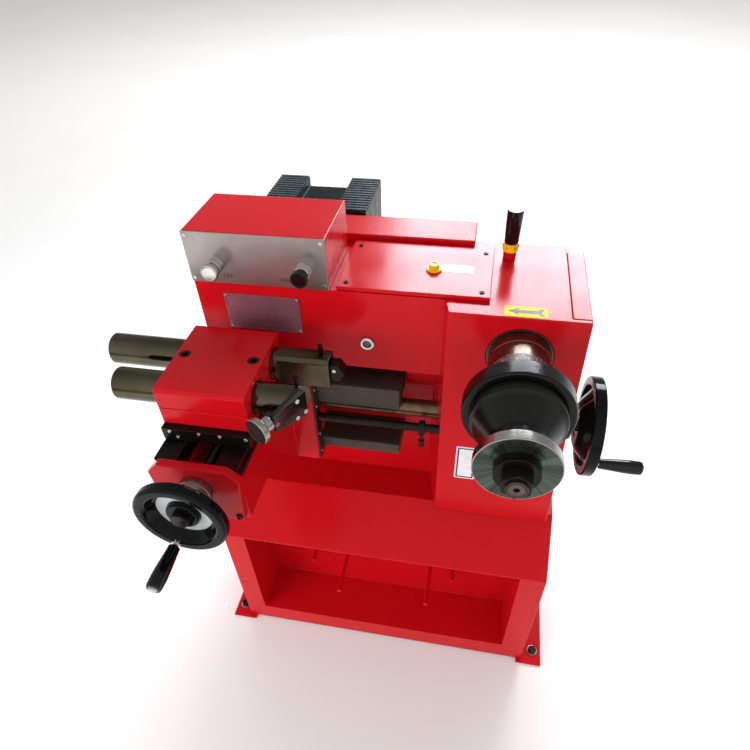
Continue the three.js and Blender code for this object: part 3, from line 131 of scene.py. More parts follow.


@dataclass(frozen=True)
class Finish:
    """One real material and how its surface was made."""

    name: str
    colour: str                        # its main colour
    patch_colour: str                  # the colour of its faint patches
    metallic: float = 0.0
    roughness: float = 0.35
    roughness_spread: float = 0.08
    patch_mm: float = 60.0             # size of the patches
    grain_mm: float = 1.2              # size of the grain
    relief_mm: float = 0.02            # height of the grain
    grain: Grain = Grain.EVEN
    centre: Place = (0.0, 0.0, 0.0)    # where the turning axis passes
    specular: float = 0.5
    coat: float = 0.0
    coat_roughness: float = 0.05
    speck_colour: str = ""             # colour of scattered specks, if it has them
    speck_mm: float = 2.0
    speck_share: float = 0.3

    def material(self) -> bpy.types.Material:
        """Makes the material once and returns it each time.

        Returns:
            The Blender material.
        """
        known = bpy.data.materials.get(self.name)
        if known and known.get("made_here"):
            return known
        material = bpy.data.materials.new(self.name)
        material["made_here"] = True
        material.use_nodes = True
        tree = material.node_tree
        shader = tree.nodes["Principled BSDF"]
        shader.inputs["Metallic"].default_value = self.metallic
        shader.inputs["Specular IOR Level"].default_value = self.specular
        shader.inputs["Coat Weight"].default_value = self.coat
        shader.inputs["Coat Roughness"].default_value = self.coat_roughness
        place = add_node(tree, "ShaderNodeTexCoord").outputs["Object"]
        tree.links.new(self.colour_socket(tree, place), shader.inputs["Base Color"])
        tree.links.new(self.roughness_socket(tree, place), shader.inputs["Roughness"])
        tree.links.new(self.normal_socket(tree, place), shader.inputs["Normal"])
        return material

    def grain_place(self, tree: bpy.types.NodeTree, place: Any) -> Any:
        """Stretches the place so that the grain runs the way the surface was worked.

        Args:
            tree: the material's tree.
            place: the object coordinates.

        Returns:
            The stretched coordinates.
        """
        if self.grain in (Grain.TURNED_X, Grain.TURNED_Y, Grain.FANNED_Y):
            centre = ORIGIN + Vector(self.centre) * MM
            flat = (0, 1, 1) if self.grain is Grain.TURNED_X else (1, 0, 1)
            along = (1, 0, 0) if self.grain is Grain.TURNED_X else (0, 1, 0)
            moved = add_node(tree, "ShaderNodeVectorMath", {"operation": "SUBTRACT", 1: centre, 0: place})
            across = add_node(
                tree, "ShaderNodeVectorMath", {"operation": "MULTIPLY", 1: flat, 0: moved.outputs[0]})
            if self.grain is Grain.FANNED_Y:
                way = add_node(tree, "ShaderNodeVectorMath", {"operation": "NORMALIZE", 0: across.outputs[0]})
                return add_node(
                    tree, "ShaderNodeVectorMath", {"operation": "SCALE", "Scale": 3 * self.grain_mm * MM,
                     0: way.outputs[0]}).outputs[0]
            reach = add_node(tree, "ShaderNodeVectorMath", {"operation": "LENGTH", 0: across.outputs[0]})
            depth = add_node(
                tree, "ShaderNodeVectorMath", {"operation": "DOT_PRODUCT", 1: along, 0: moved.outputs[0]})
            return add_node(
                tree, "ShaderNodeCombineXYZ", {"X": reach.outputs["Value"], "Y": depth.outputs["Value"]},
            ).outputs[0]
        stretch = {Grain.ALONG_X: (0.02, 1, 1), Grain.ALONG_Y: (1, 0.02, 1)}.get(self.grain, (1, 1, 1))
        return add_node(tree, "ShaderNodeMapping", {"Scale": stretch, "Vector": place}).outputs[0]

    def colour_socket(self, tree: bpy.types.NodeTree, place: Any) -> Any:
        """Blends the main colour with its patches and specks.

        Args:
            tree: the material's tree.
            place: the object coordinates.

        Returns:
            The socket that carries the colour.
        """
        # On a fanned face the colour patches become radial streaks: painted highlight streaks
        fanned = self.grain is Grain.FANNED_Y
        size = (self.grain_mm if fanned else self.patch_mm) * MM
        patches = add_node(
            tree, "ShaderNodeTexNoise",
            {"Scale": 1 / size, "Detail": 5.0, "Roughness": 0.6,
             "Vector": self.grain_place(tree, place) if fanned else place})
        steps = add_node(
            tree, "ShaderNodeMapRange", {"From Min": 0.35, "From Max": 0.68, "Value": patches.outputs["Fac"]})
        blend = add_node(
            tree, "ShaderNodeMixRGB", {"Color1": linear(self.colour), "Color2": linear(self.patch_colour),
             "Fac": steps.outputs[0]})
        if not self.speck_colour:
            return blend.outputs[0]
        specks = add_node(
            tree, "ShaderNodeTexNoise", {"Scale": 1 / (self.speck_mm * MM), "Detail": 2.0, "Vector": place})
        edge = 0.72 - 0.3 * self.speck_share
        share = add_node(
            tree, "ShaderNodeMapRange", {"From Min": edge, "From Max": edge + 0.06,
             "Value": specks.outputs["Fac"]})
        return add_node(
            tree, "ShaderNodeMixRGB", {"Color2": linear(self.speck_colour),
             "Fac": share.outputs[0], "Color1": blend.outputs[0]}).outputs[0]

    def roughness_socket(self, tree: bpy.types.NodeTree, place: Any) -> Any:
        """Varies the roughness, as hands, oil and dust do.

        Args:
            tree: the material's tree.
            place: the object coordinates.

        Returns:
            The socket that carries the roughness.
        """
        smears = add_node(
            tree, "ShaderNodeTexNoise", {"Scale": 2.2 / (self.patch_mm * MM), "Detail": 4.0, "Vector": place})
        low, high = self.roughness - self.roughness_spread, self.roughness + self.roughness_spread
        return add_node(
            tree, "ShaderNodeMapRange",
            {"From Min": 0.3, "From Max": 0.7, "To Min": max(low, 0.03), "To Max": high,
             "Value": smears.outputs["Fac"]}).outputs[0]

    def normal_socket(self, tree: bpy.types.NodeTree, place: Any) -> Any:
        """Raises the grain.

        Args:
            tree: the material's tree.
            place: the object coordinates.

        Returns:
            The socket that carries the normal.
        """
        grain = add_node(
            tree, "ShaderNodeTexNoise", {"Scale": 1 / (self.grain_mm * MM), "Detail": 3.0,
             "Vector": self.grain_place(tree, place)})
        return add_node(
            tree, "ShaderNodeBump", {"Strength": 1.0, "Distance": self.relief_mm * MM,
             "Height": grain.outputs["Fac"]}).outputs[0]


SPINDLE_PLACE = (473.0, -151.0, -63.0)
CROSS_PLACE = (71.0, -280.0, -158.0)

# Sprayed gloss enamel over filled iron: a deep even red, a soft waviness and a clean reflection
RED_ENAMEL = Finish(
    "gloss_red_enamel", "c20e17", "b90c15", roughness=0.2, roughness_spread=0.05, patch_mm=130,
    grain_mm=14, relief_mm=0.04, specular=0.17)
# The same enamel on welded sheet, a little rougher from rolled steel
SHEET_ENAMEL = Finish(
    "red_enamel_on_sheet", "c20e17", "bb0c15", roughness=0.25, roughness_spread=0.04, patch_mm=160,
    grain_mm=8, relief_mm=0.03, specular=0.15)
# Phosphated or blued steel with an oil film: nearly black, with brown patches
BLACK_OXIDE = Finish(
    "oiled_black_oxide_steel", "1c1a18", "2b2019", metallic=0.75, roughness=0.32, patch_mm=25,
    grain_mm=0.9, relief_mm=0.012)
# Stoved black enamel on a cast wheel: wet black gloss
WHEEL_ENAMEL = Finish(
    "stoved_black_enamel", "08090a", "0c0d0d", roughness=0.1, roughness_spread=0.03, patch_mm=30,
    grain_mm=6, relief_mm=0.03, specular=0.13)
# Black enamel over coarse cast iron: a dark green-black that sparkles on its grain
CAST_ENAMEL = Finish(
    "black_enamel_on_cast_iron", "050604", "0a0c08", roughness=0.22, roughness_spread=0.06, patch_mm=35,
    grain_mm=1.8, relief_mm=0.14, specular=0.26)
# Enamel on the motor's aluminium: blue-black, with only a weak shine
MOTOR_ENAMEL = Finish(
    "semi_gloss_motor_enamel", "0c1316", "12191c", specular=0.06, roughness=0.28, patch_mm=40,
    grain_mm=4, relief_mm=0.04)
# The same enamel on the lids' cast fins, painted a paler grey that stands for the highlights along their
# edges
LIT_FIN_ENAMEL = Finish(
    "fin_enamel_painted_highlight", "2f393d", "465257", specular=0.3, roughness=0.3, patch_mm=12, grain_mm=2,
    relief_mm=0.04)
# Moulded phenolic handle: deep black, very smooth
BLACK_PLASTIC = Finish(
    "moulded_phenolic", "08080a", "0c0c0d", roughness=0.08, roughness_spread=0.02, patch_mm=30,
    grain_mm=5, relief_mm=0.01, specular=0.35)
# Ground and oiled bar steel: dark mirror with fine rings
BAR_STEEL = Finish(
    "ground_bar_steel", "5d5747", "4b4535", metallic=1.0, roughness=0.14, roughness_spread=0.05,
    patch_mm=70, grain_mm=0.9, relief_mm=0.006, grain=Grain.TURNED_X, centre=(0, -150, -77))
# Bare turned steel: bright, with fine rings round its axis
TURNED_STEEL = Finish(
    "turned_steel", "b7b5ad", "a3a098", metallic=1.0, roughness=0.2, roughness_spread=0.05, patch_mm=40,
    grain_mm=1.3, relief_mm=0.02, grain=Grain.TURNED_Y, centre=SPINDLE_PLACE)
# Turned face: green-grey, with a fan of pale and dark streaks that are painted highlights of its turning
SHEEN_STREAKED_FACE = Finish(
    "turned_face_painted_streaks", "66736a", "1f2620", metallic=0.9, roughness=0.3, roughness_spread=0.08,
    patch_mm=22, grain_mm=5, relief_mm=0.02, grain=Grain.FANNED_Y, centre=SPINDLE_PLACE)
# Turned spindle under old oil: warm brown-grey with a soft shine
NOSE_STEEL = Finish(
    "oiled_spindle_steel", "74695e", "51473e", metallic=1.0, roughness=0.28, roughness_spread=0.06,
    patch_mm=40, grain_mm=1.4, relief_mm=0.02, grain=Grain.TURNED_Y, centre=SPINDLE_PLACE)
# The spindle's faced end, grey with fine rings
END_STEEL = Finish(
    "faced_spindle_end", "4f4d47", "3c3a35", metallic=1.0, roughness=0.32, roughness_spread=0.05,
    patch_mm=14, grain_mm=1.1, relief_mm=0.03, grain=Grain.TURNED_Y, centre=SPINDLE_PLACE)
# Hardened plate under a film of oil: a dull green-grey
PLATE_STEEL = Finish(
    "hardened_plate_steel", "3f423b", "2e312b", metallic=0.9, roughness=0.3, roughness_spread=0.06,
    patch_mm=18, grain_mm=1.2, relief_mm=0.02)
# Sprayed red primer with bright chips on the shoulder of the spindle
CHIPPED_PRIMER = Finish(
    "chipped_primer", "3a0f0e", "55140f", roughness=0.4, patch_mm=9, grain_mm=1.0, relief_mm=0.06,
    speck_colour="c9b6a4", speck_mm=1.4, speck_share=0.4)
# Blued iron ways with rust-proofing oil: dark grey-brown, dull
WAY_IRON = Finish(
    "oiled_way_iron", "4e443d", "40352d", metallic=0.45, roughness=0.52, roughness_spread=0.08,
    patch_mm=45, grain_mm=1.5, relief_mm=0.02, grain=Grain.ALONG_X)
# Brushed aluminium sheet: pale warm grey, drawn out in fine lines
BRUSHED_PANEL = Finish(
    "brushed_aluminium", "bab1ac", "aea5a1", metallic=1.0, roughness=0.36, roughness_spread=0.06,
    patch_mm=60, grain_mm=0.9, relief_mm=0.02, grain=Grain.ALONG_X)
# Etched aluminium plate: grey metal tinted pink as a painted reflection of the red enamel round it
ETCHED_PLATE = Finish(
    "etched_aluminium_plate", "c08a9a", "ad7b8a", metallic=0.8, roughness=0.33, roughness_spread=0.05,
    patch_mm=50, grain_mm=0.9, relief_mm=0.01, grain=Grain.ALONG_X)
# Bare fields and rails of that plate: a paler pink-grey, the pink again a painted reflection of the red round
# it
PLATE_FIELD = Finish(
    "bare_aluminium_field", "b9a4ae", "ab96a0", metallic=0.9, roughness=0.3, patch_mm=30, grain_mm=0.9,
    relief_mm=0.01, grain=Grain.ALONG_X)
# Nickel plating: a near mirror, white and black in spots
BRIGHT_PLATING = Finish(
    "bright_nickel_plating", "d2d1cd", "c6c4be", metallic=1.0, roughness=0.12, roughness_spread=0.04,
    patch_mm=15, grain_mm=1.5, relief_mm=0.006)
# Bare machined web of the cross wheel: pale and even
WEB_FACE = Finish(
    "machined_web_face", "c3c9cc", "b4babd", metallic=0.35, roughness=0.42, patch_mm=18, grain_mm=1.2,
    relief_mm=0.01, grain=Grain.TURNED_Y, centre=CROSS_PLACE)
# Satin chrome of the dial: grey with soft rings
DIAL_METAL = Finish(
    "satin_chrome_dial", "a8a39d", "8f8983", metallic=1.0, roughness=0.3, patch_mm=18, grain_mm=1.0,
    relief_mm=0.015, grain=Grain.TURNED_Y, centre=CROSS_PLACE)
# Satin metal of the micrometer knob: light grey
KNOB_METAL = Finish(
    "satin_knob_metal", "b5b2ac", "9c9891", metallic=1.0, roughness=0.26, patch_mm=12, grain_mm=1.1,
    relief_mm=0.02)
# Blackened face of that knob: a dull brown-black
KNOB_FACE = Finish(
    "dark_knob_face", "4a3b39", "3e3130", metallic=0.6, roughness=0.34, patch_mm=14, grain_mm=1.1,
    relief_mm=0.02)
# Machined gear steel, inside the machine: mid grey
CAST_STEEL = Finish(
    "machined_gear_steel", "8b8a86", "6f6e69", metallic=1.0, roughness=0.38, patch_mm=30, grain_mm=1.5,
    relief_mm=0.03)
# Wiper rubber: matt black with a little dust
SOFT_RUBBER = Finish(
    "nitrile_rubber", "141414", "1c1b1a", roughness=0.55, patch_mm=25, grain_mm=1.2, relief_mm=0.05)
# Moulded nylon: a full warm yellow with a soft shine
YELLOW_PLASTIC = Finish(
    "yellow_nylon", "f2bd08", "e6ad05", roughness=0.3, patch_mm=12, grain_mm=1.5, relief_mm=0.02)
# Lead screw under a film of amber way oil
OILED_SCREW = Finish(
    "amber_oiled_screw", "7c634a", "4b3a28", metallic=0.75, roughness=0.26, roughness_spread=0.08,
    patch_mm=40, grain_mm=1.4, relief_mm=0.02, grain=Grain.TURNED_X, centre=(0, 14, -218))
# Ground square steel under oil: olive grey, with lines along the bar
HOLDER_STEEL = Finish(
    "oiled_holder_steel", "5b5443", "4a4333", metallic=1.0, roughness=0.2, roughness_spread=0.06,
    patch_mm=45, grain_mm=1.0, relief_mm=0.004, grain=Grain.ALONG_X)
# Printed label film: a flat yellow
LABEL_YELLOW = Finish(
    "yellow_label_film", "f0d21c", "e6c616", roughness=0.45, specular=0.12, patch_mm=15, grain_mm=1.0,
    relief_mm=0.01)
# Printed ink: a flat blue-black
LABEL_INK = Finish(
    "dark_label_ink", "2a2a40", "242438", roughness=0.45, patch_mm=10, grain_mm=1.0, relief_mm=0.005)
# Blank film: off-white with a slight gloss
LABEL_WHITE = Finish(
    "white_label_film", "e9e7ea", "dedce0", roughness=0.3, patch_mm=15, grain_mm=1.0, relief_mm=0.01)
# Oil behind a sight glass: red-brown under a clear wet shine
GLASS_OIL = Finish(
    "sight_glass_over_oil", "3a1d10", "2a130b", roughness=0.05, roughness_spread=0.02, patch_mm=8,
    grain_mm=4, relief_mm=0.005, coat=1.0)
# Painted spot that marks the plate's nose
PLATE_MARKER = Finish(
    "pink_paint_spot", "d1176a", "b81258", roughness=0.4, patch_mm=6, grain_mm=1.0, relief_mm=0.01)
# Sintered carbide: light grey and fine grained
CARBIDE = Finish(
    "sintered_carbide_tip", "8f8b80", "7c776c", metallic=1.0, roughness=0.3, patch_mm=6, grain_mm=0.8,
    relief_mm=0.01)
# Painted studio floor: near white and matt
PALE_FLOOR = Finish(
    "painted_studio_floor", "f4f3f2", "f1f0ef", roughness=0.7, patch_mm=900, grain_mm=30,
    relief_mm=0.05, specular=0.2)

# What a carried-over CAD node is dressed in, by the record's slot
SLOT_FINISH = {
    "red_enamel": RED_ENAMEL, "black_oxide": BLACK_OXIDE, "black_enamel": WHEEL_ENAMEL,
    "black_plastic": BLACK_PLASTIC, "polished_steel": TURNED_STEEL, "ground_iron": WAY_IRON,
    "brushed_aluminium": BRUSHED_PANEL, "chrome": BRIGHT_PLATING, "cast_steel": CAST_STEEL,
    "rubber": SOFT_RUBBER, "yellow_plastic": YELLOW_PLASTIC, "bronze": OILED_SCREW,
}


# Shapes

SHARP_ANGLE = 34.0        # edges sharper than this many degrees stay sharp, or get the bevel


def eased(points: Profile, radius: float, closed: bool = False, steps: int = 3) -> list[tuple[float, float]]:
    """Rounds the corners of an outline or a turning profile.

    Args:
        points: the corners. A third number on a corner is its own radius.
        radius: the radius of the other corners.
        closed: whether the last corner joins the first.
        steps: pieces in each rounding.

    Returns:
        The rounded outline.
    """
    result: list[tuple[float, float]] = []
    count = len(points)
    for index, point in enumerate(points):
        own = point[2] if len(point) > 2 else radius
        here = Vector(point[:2])
        if own <= 0 or (not closed and index in (0, count - 1)):
            result.append((here.x, here.y))
            continue
        back = Vector(points[index - 1][:2]) - here
        ahead = Vector(points[(index + 1) % count][:2]) - here
        reach = min(own, 0.45 * back.length, 0.45 * ahead.length)
        start, end = here + back.normalized() * reach, here + ahead.normalized() * reach
        for step in range(steps + 1):
            share = step / steps
            bend = start * (1 - share) ** 2 + here * 2 * share * (1 - share) + end * share ** 2
            result.append((bend.x, bend.y))
    return result


def corners(points: Profile, radius: float, closed: bool) -> list[tuple[float, float]]:
    """Gives the corners of an outline or a turning profile, rounded where any has a radius.

    Args:
        points: the corners. A third number on a corner is its own radius.
        radius: the radius of the other corners.
        closed: whether the last corner joins the first.

    Returns:
        The corners as pairs.
    """
    if radius or any(len(point) > 2 for point in points):
        return eased(points, radius, closed)
    return [tuple(point[:2]) for point in points]


def rod(start: float, end: float, radius: float) -> Profile:
    """Gives the turning profile of a plain rod or disc."""
    return [(start, 0), (start, radius), (end, radius), (end, 0)]


def tube(start: float, end: float, inner: float, outer: float) -> Profile:
    """Gives the turning profile of a plain ring or tube."""
    return [(start, inner), (start, outer), (end, outer), (end, inner)]


def on_axis(axis: str, along: float, first: float, second: float) -> Place:
    """Orders a distance along an axis and the two across it as x, y and z."""
    return {"x": (along, first, second), "y": (first, along, second), "z": (first, second, along)}[axis]


class Shape:
    """A mesh being made, in millimetres of the drawing frame."""

    def __init__(self, place: Matrix | None = None) -> None:
        """Starts an empty mesh, whose points the place matrix moves."""
        self.mesh = bmesh.new()
        self.place = place or Matrix.Identity(4)
        self.finish_index = 0

    def add(self, points: Sequence[Place], faces: Sequence[Sequence[int]]) -> None:
        """Adds points and the faces between them, in the finish that is set."""
        corners = [self.mesh.verts.new(self.place @ Vector(point)) for point in points]
        for face in faces:
            self.mesh.faces.new([corners[index] for index in face]).material_index = self.finish_index

    def turned(self, profile: Profile, axis: str, place: Place, ease: float = 0.0, ring: bool = False,
               sides: int = 96) -> "Shape":
        """Adds a revolved solid.

        Args:
            profile: corners as distance along the axis and radius.
            axis: "x", "y" or "z".
            place: where the axis starts.
            ease: radius of the rounded edges.
            ring: whether the profile closes on itself away from the axis.
            sides: sides of the round.

        Returns:
            The shape itself.
        """
        points: list[Place] = []
        starts: list[tuple[int, int]] = []
        for along, radius in corners(profile, ease, ring):
            spread = 1 if radius < 1e-6 else sides
            starts.append((len(points), spread))
            for side in range(spread):
                angle = 2 * math.pi * side / sides
                first, second = radius * math.cos(angle), radius * math.sin(angle)
                points.append(tuple(a + b for a, b in zip(on_axis(axis, along, first, second), place)))
        faces: list[list[int]] = []
        pairs = list(zip(starts, starts[1:])) + ([(starts[-1], starts[0])] if ring else [])
        for (low, low_spread), (high, high_spread) in pairs:
            for side in range(sides):
                after = (side + 1) % sides
                face = list(dict.fromkeys([
                    low + side % low_spread, low + after % low_spread,
                    high + after % high_spread, high + side % high_spread]))
                if len(face) > 2:
                    faces.append(face)
        if not ring:
            for start, spread in (starts[0], starts[-1]):
                if spread > 1:
                    faces.append([start + side for side in range(spread)])
        self.add(points, faces)
        return self

    def pushed(self, outline: Profile, axis: str, start: float, length: float, ease: float = 0.0) -> "Shape":
        """Adds a flat outline pushed along an axis.

        Args:
            outline: corners in the plane across the axis, in the order x, y, z.
            axis: "x", "y" or "z".
            start: where it starts on the axis.
            length: how far it is pushed.
            ease: radius of the outline's corners.

        Returns:
            The shape itself.
        """
        rows = corners(outline, ease, True)
        count = len(rows)
        points = [on_axis(axis, along, *row) for along in (start, start + length) for row in rows]
        faces = [[i, (i + 1) % count, count + (i + 1) % count, count + i] for i in range(count)]
        faces += [list(range(count)), list(range(count, 2 * count))]
        self.add(points, faces)
        return self

    def flat(self, low: Sequence[float], high: Sequence[float], axis: str, start: float, length: float,
             ease: float = 0.0) -> "Shape":
        """Adds a rectangle between two corners pushed along an axis.

        Args:
            low: its lower corner in the plane across the axis.
            high: its upper corner.
            axis: "x", "y" or "z".
            start: where it starts on the axis.
            length: how far it is pushed.
            ease: radius of its corners.

        Returns:
            The shape itself.
        """
        return self.pushed([(low[0], low[1]), (high[0], low[1]), (high[0], high[1]), (low[0], high[1])],
                           axis, start, length, ease)

    def box(self, low: Place, high: Place) -> "Shape":
        """Adds a box between two corners and returns the shape itself."""
        return self.flat(low, high, "z", low[2], high[2] - low[2])

    def rails(self, low: tuple, high: tuple, inset: float, width: float, front: float, back: float) -> None:
        """Adds four upright rails that frame a plate.

        Args:
            low: the plate's lower corner, as x and z.
            high: its upper corner.
            inset: how far the frame lies inside the plate's edge.
            width: the rails' width.
            front: their front on the y axis.
            back: their back.
        """
        left, bottom, right, top = low[0] + inset, low[1] + inset, high[0] - inset, high[1] - inset
        for x0, z0, x1, z1 in (
                (left, bottom, right, bottom + width), (left, top - width, right, top),
                (left, bottom + width, left + width, top - width),
                (right - width, bottom + width, right, top - width)):
            self.box((x0, front, z0), (x1, back, z1))

    def paint(self, index: int) -> "Shape":
        """Sets the finish of what is added next and returns the shape itself."""
        self.finish_index = index
        return self

    def paint_where(self, index: int, test: Callable[[Vector], bool]) -> None:
        """Sets the finish of the faces whose middle passes a test.

        Args:
            index: the finish's number.
            test: says of a face's middle whether the face gets the finish.
        """
        for face in self.mesh.faces:
            if test(face.calc_center_median()):
                face.material_index = index

    def finish(self, name: str, *finishes: Finish, bevel: float = 0.0) -> bpy.types.Object:
        """Turns the shape into an object in the row frame.

        Args:
            name: the piece's name.
            finishes: its finishes, in the order of their numbers.
            bevel: width of the bevel on its sharp edges.

        Returns:
            The object.
        """
        bmesh.ops.remove_doubles(self.mesh, verts=self.mesh.verts[:], dist=1e-4)
        bmesh.ops.recalc_face_normals(self.mesh, faces=self.mesh.faces[:])
        bmesh.ops.transform(
            self.mesh, verts=self.mesh.verts[:], matrix=Matrix.Translation(ORIGIN) @ Matrix.Scale(MM, 4))
        data = bpy.data.meshes.new(name)
        self.mesh.to_mesh(data)
        self.mesh.free()
        return as_piece(name, data, finishes, bevel, SHARP_ANGLE)

    def dressed(self, name: str, finishes: Sequence[Finish], body: str, slot: str, *nodes: str,
                bevel: float = 0.0) -> None:
        """Finishes the shape and dresses it as a piece of its body.

        Args:
            name: the piece's name.
            finishes: its finishes, in the order of their numbers.
            body: the CAD body that carries it.
            slot: the record's material slot.
            nodes: the CAD nodes that it replaces.
            bevel: width of the bevel on its sharp edges.
        """
        dress(self.finish(name, *finishes, bevel=bevel), body, slot, *nodes)


def as_piece(name: str, data: bpy.types.Mesh, finishes: Sequence[Finish], bevel: float,
             angle: float) -> bpy.types.Object:
    """Makes an object of a mesh, shaded smooth between its sharp edges.

    Args:
        name: the piece's name.
        data: its mesh, in metres.
        finishes: its finishes.
        bevel: width of the bevel in millimetres, or zero.
        angle: the angle that counts as sharp, in degrees.

    Returns:
        The object.
    """
    piece = bpy.data.objects.new(name, data)
    bpy.context.scene.collection.objects.link(piece)
    if data.materials:
        data.materials.clear()
    for one in finishes:
        data.materials.append(one.material())
    data.shade_smooth()
    if bevel:
        mark_bevels(data, bevel, angle)
        modifier = piece.modifiers.new("soft_edges", "BEVEL")
        modifier.width = bevel * MM
        modifier.segments = 3
        modifier.limit_method = "WEIGHT"
        modifier.use_clamp_overlap = False
        modifier.miter_outer = "MITER_ARC"
    else:
        data.set_sharp_from_angle(angle=math.radians(angle))
    level = piece.modifiers.new("flat_faces", "WEIGHTED_NORMAL")
    level.keep_sharp = True
    level.weight = 100
    return piece


def mark_bevels(data: bpy.types.Mesh, width: float, angle: float) -> None:
    """Weighs the sharp edges that are long enough for a bevel, and marks the other sharp ones.

    Args:
        data: the mesh, in metres.
        width: the bevel's width in millimetres.
        angle: the angle that counts as sharp, in degrees.
    """
    work = bmesh.new()
    work.from_mesh(data)
    weight = work.edges.layers.float.new("bevel_weight_edge")
    for edge in work.edges:
        if len(edge.link_faces) != 2:
            continue
        if edge.calc_face_angle(0.0) > math.radians(angle):
            if edge.calc_length() > 2.2 * width * MM:
                edge[weight] = 1.0
            else:
                edge.smooth = False
    work.to_mesh(data)
    work.free()


def softened(node: str, name: str, finish: Finish, width: float, angle: float = 30.0) -> bpy.types.Object:
    """Copies a CAD node, merges its loose triangles and softens its edges.

    Args:
        node: the CAD node.
        name: the new piece's name.
        finish: its finish.
        width: bevel width in millimetres.
        angle: edges sharper than this get the bevel.

    Returns:
        The new object.
    """
    work = bmesh.new()
    work.from_mesh(frame["nodes"][node].data)
    bmesh.ops.remove_doubles(work, verts=work.verts[:], dist=2e-6)
    bmesh.ops.dissolve_limit(work, angle_limit=math.radians(1.0), verts=work.verts[:], edges=work.edges[:])
    data = bpy.data.meshes.new(name)
    work.to_mesh(data)
    work.free()
    return as_piece(name, data, [finish], width, angle)


def dress(piece: bpy.types.Object, body: str, slot: str, *nodes: str) -> bpy.types.Object:
    """Rides a piece on its body and hides the CAD nodes that it stands for.

    Args:
        piece: the finished piece.
        body: the CAD body.
        slot: the record's material slot; not used.
        nodes: the CAD nodes that it replaces.

    Returns:
        The piece.
    """
    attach(piece, body)
    if nodes:
        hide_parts(*nodes)
    log.info("%s on %s: %d points", piece.name, body, len(piece.data.vertices))
    return piece


def shells(body: str, slot: str, finish: Finish, *rows: tuple[str, str, float]) -> None:
    """Dresses softened copies of CAD nodes in their place.

    Args:
        body: the CAD body that carries them.
        slot: the record's material slot.
        finish: their finish.
        rows: for each, the CAD node, the new piece's name and the bevel width.
    """
    for node, name, width in rows:
        dress(softened(node, name, finish, width), body, slot, node)


def plain_mesh(holder: bpy.types.Object) -> bpy.types.Mesh:
    """Keeps what an object evaluates to as a plain mesh, and removes the object.

    Args:
        holder: the object, not yet in the scene.

    Returns:
        The mesh.
    """
    bpy.context.scene.collection.objects.link(holder)
    bpy.context.view_layer.update()
    whole = holder.evaluated_get(bpy.context.evaluated_depsgraph_get())
    data = bpy.data.meshes.new_from_object(whole)
    bpy.data.objects.remove(holder)
    return data


# Patterns made by Geometry Nodes


class Head(Enum):
    """The kinds of fastener head."""

    SOCKET = "socket"
    HEXAGON = "hexagon"
    DOME = "dome"
    CROSS = "cross"


class Pattern:
    """A Geometry Nodes tree with named inputs, which makes one plain mesh."""

    def __init__(self, name: str, inputs: dict[str, tuple[str, Any]]) -> None:
        """Starts a tree whose inputs are given as a socket type and a default value."""
        self.tree = bpy.data.node_groups.new(name, "GeometryNodeTree")
        self.tree.interface.new_socket(name="Geometry", in_out="OUTPUT", socket_type="NodeSocketGeometry")
        self.tree.interface.new_socket(name="Points", in_out="INPUT", socket_type="NodeSocketGeometry")
        self.keys: dict[str, str] = {}
        for label, (kind, value) in {**inputs, "Finish": ("NodeSocketMaterial", None)}.items():
            socket = self.tree.interface.new_socket(name=label, in_out="INPUT", socket_type=kind)
            if value is not None:
                socket.default_value = value
            self.keys[label] = socket.identifier
        self.inputs = self.tree.nodes.new("NodeGroupInput").outputs
        self.end = self.tree.nodes.new("NodeGroupOutput")

    def node(self, kind: str, values: dict[Any, Any] | None = None) -> Any:
        """Adds a node to the tree and returns it."""
        return add_node(self.tree, kind, values)

    def sum(self, operation: str, first: Any, second: Any = 0.0) -> Any:
        """Adds a Math node on two sockets or numbers and returns the socket with its result."""
        return self.node("ShaderNodeMath", {"operation": operation, 0: first, 1: second}).outputs[0]

    def close(self, geometry: Any) -> None:
        """Ends the tree with real meshes in the given finish."""
        real = self.node("GeometryNodeRealizeInstances", {"Geometry": geometry})
        dressed = self.node(
            "GeometryNodeSetMaterial", {"Geometry": real.outputs[0], "Material": self.inputs["Finish"]})
        self.tree.links.new(dressed.outputs[0], self.end.inputs["Geometry"])

    def make(self, name: str, finish: Finish, values: dict[str, Any], points: Sequence[Place] = ((0, 0, 0),),
             facing: Sequence[Place] = UP) -> bpy.types.Object:
        """Runs the tree and keeps its result as a plain mesh.

        Args:
            name: the piece's name.
            finish: its finish.
            values: the named inputs, in metres and plain numbers.
            points: where copies stand, in millimetres of the drawing frame.
            facing: which way each copy faces, one for all or one for each.

        Returns:
            The object.
        """
        seed = bpy.data.meshes.new(name + "_points")
        seed.from_pydata([tuple(ORIGIN + Vector(point) * MM) for point in points], [], [])
        ways = seed.attributes.new("facing", "FLOAT_VECTOR", "POINT")
        for index in range(len(points)):
            ways.data[index].vector = facing[index if len(facing) > 1 else 0]
        holder = bpy.data.objects.new(name + "_holder", seed)
        modifier = holder.modifiers.new("pattern", "NODES")
        modifier.node_group = self.tree
        for label, value in values.items():
            modifier[self.keys[label]] = value
        modifier[self.keys["Finish"]] = finish.material()
        data = plain_mesh(holder)
        bpy.data.meshes.remove(seed)
        data.name = name
        for index in range(len(data.attributes) - 1, -1, -1):
            if data.attributes[index].name == "facing":
                data.attributes.remove(data.attributes[index])
        return as_piece(name, data, [finish], 0.0, SHARP_ANGLE)


def facing_copies(pattern: Pattern, shape: Any, scale: Any = None) -> Any:
    """Stands a copy of a shape on each point, turned the way that the point faces.

    Args:
        pattern: the pattern's tree.
        shape: the geometry socket of the shape, made along +Z.
        scale: a vector socket that scales each copy, or None.

    Returns:
        The socket with the copies.
    """
    way = pattern.node("GeometryNodeInputNamedAttribute", {"data_type": "FLOAT_VECTOR", "Name": "facing"})
    turn = pattern.node("FunctionNodeAlignRotationToVector", {"axis": "Z", "Vector": way.outputs[0]})
    links = {"Points": pattern.inputs["Points"], "Instance": shape, "Rotation": turn.outputs[0]}
    if scale is not None:
        links["Scale"] = scale
    return pattern.node("GeometryNodeInstanceOnPoints", links).outputs[0]


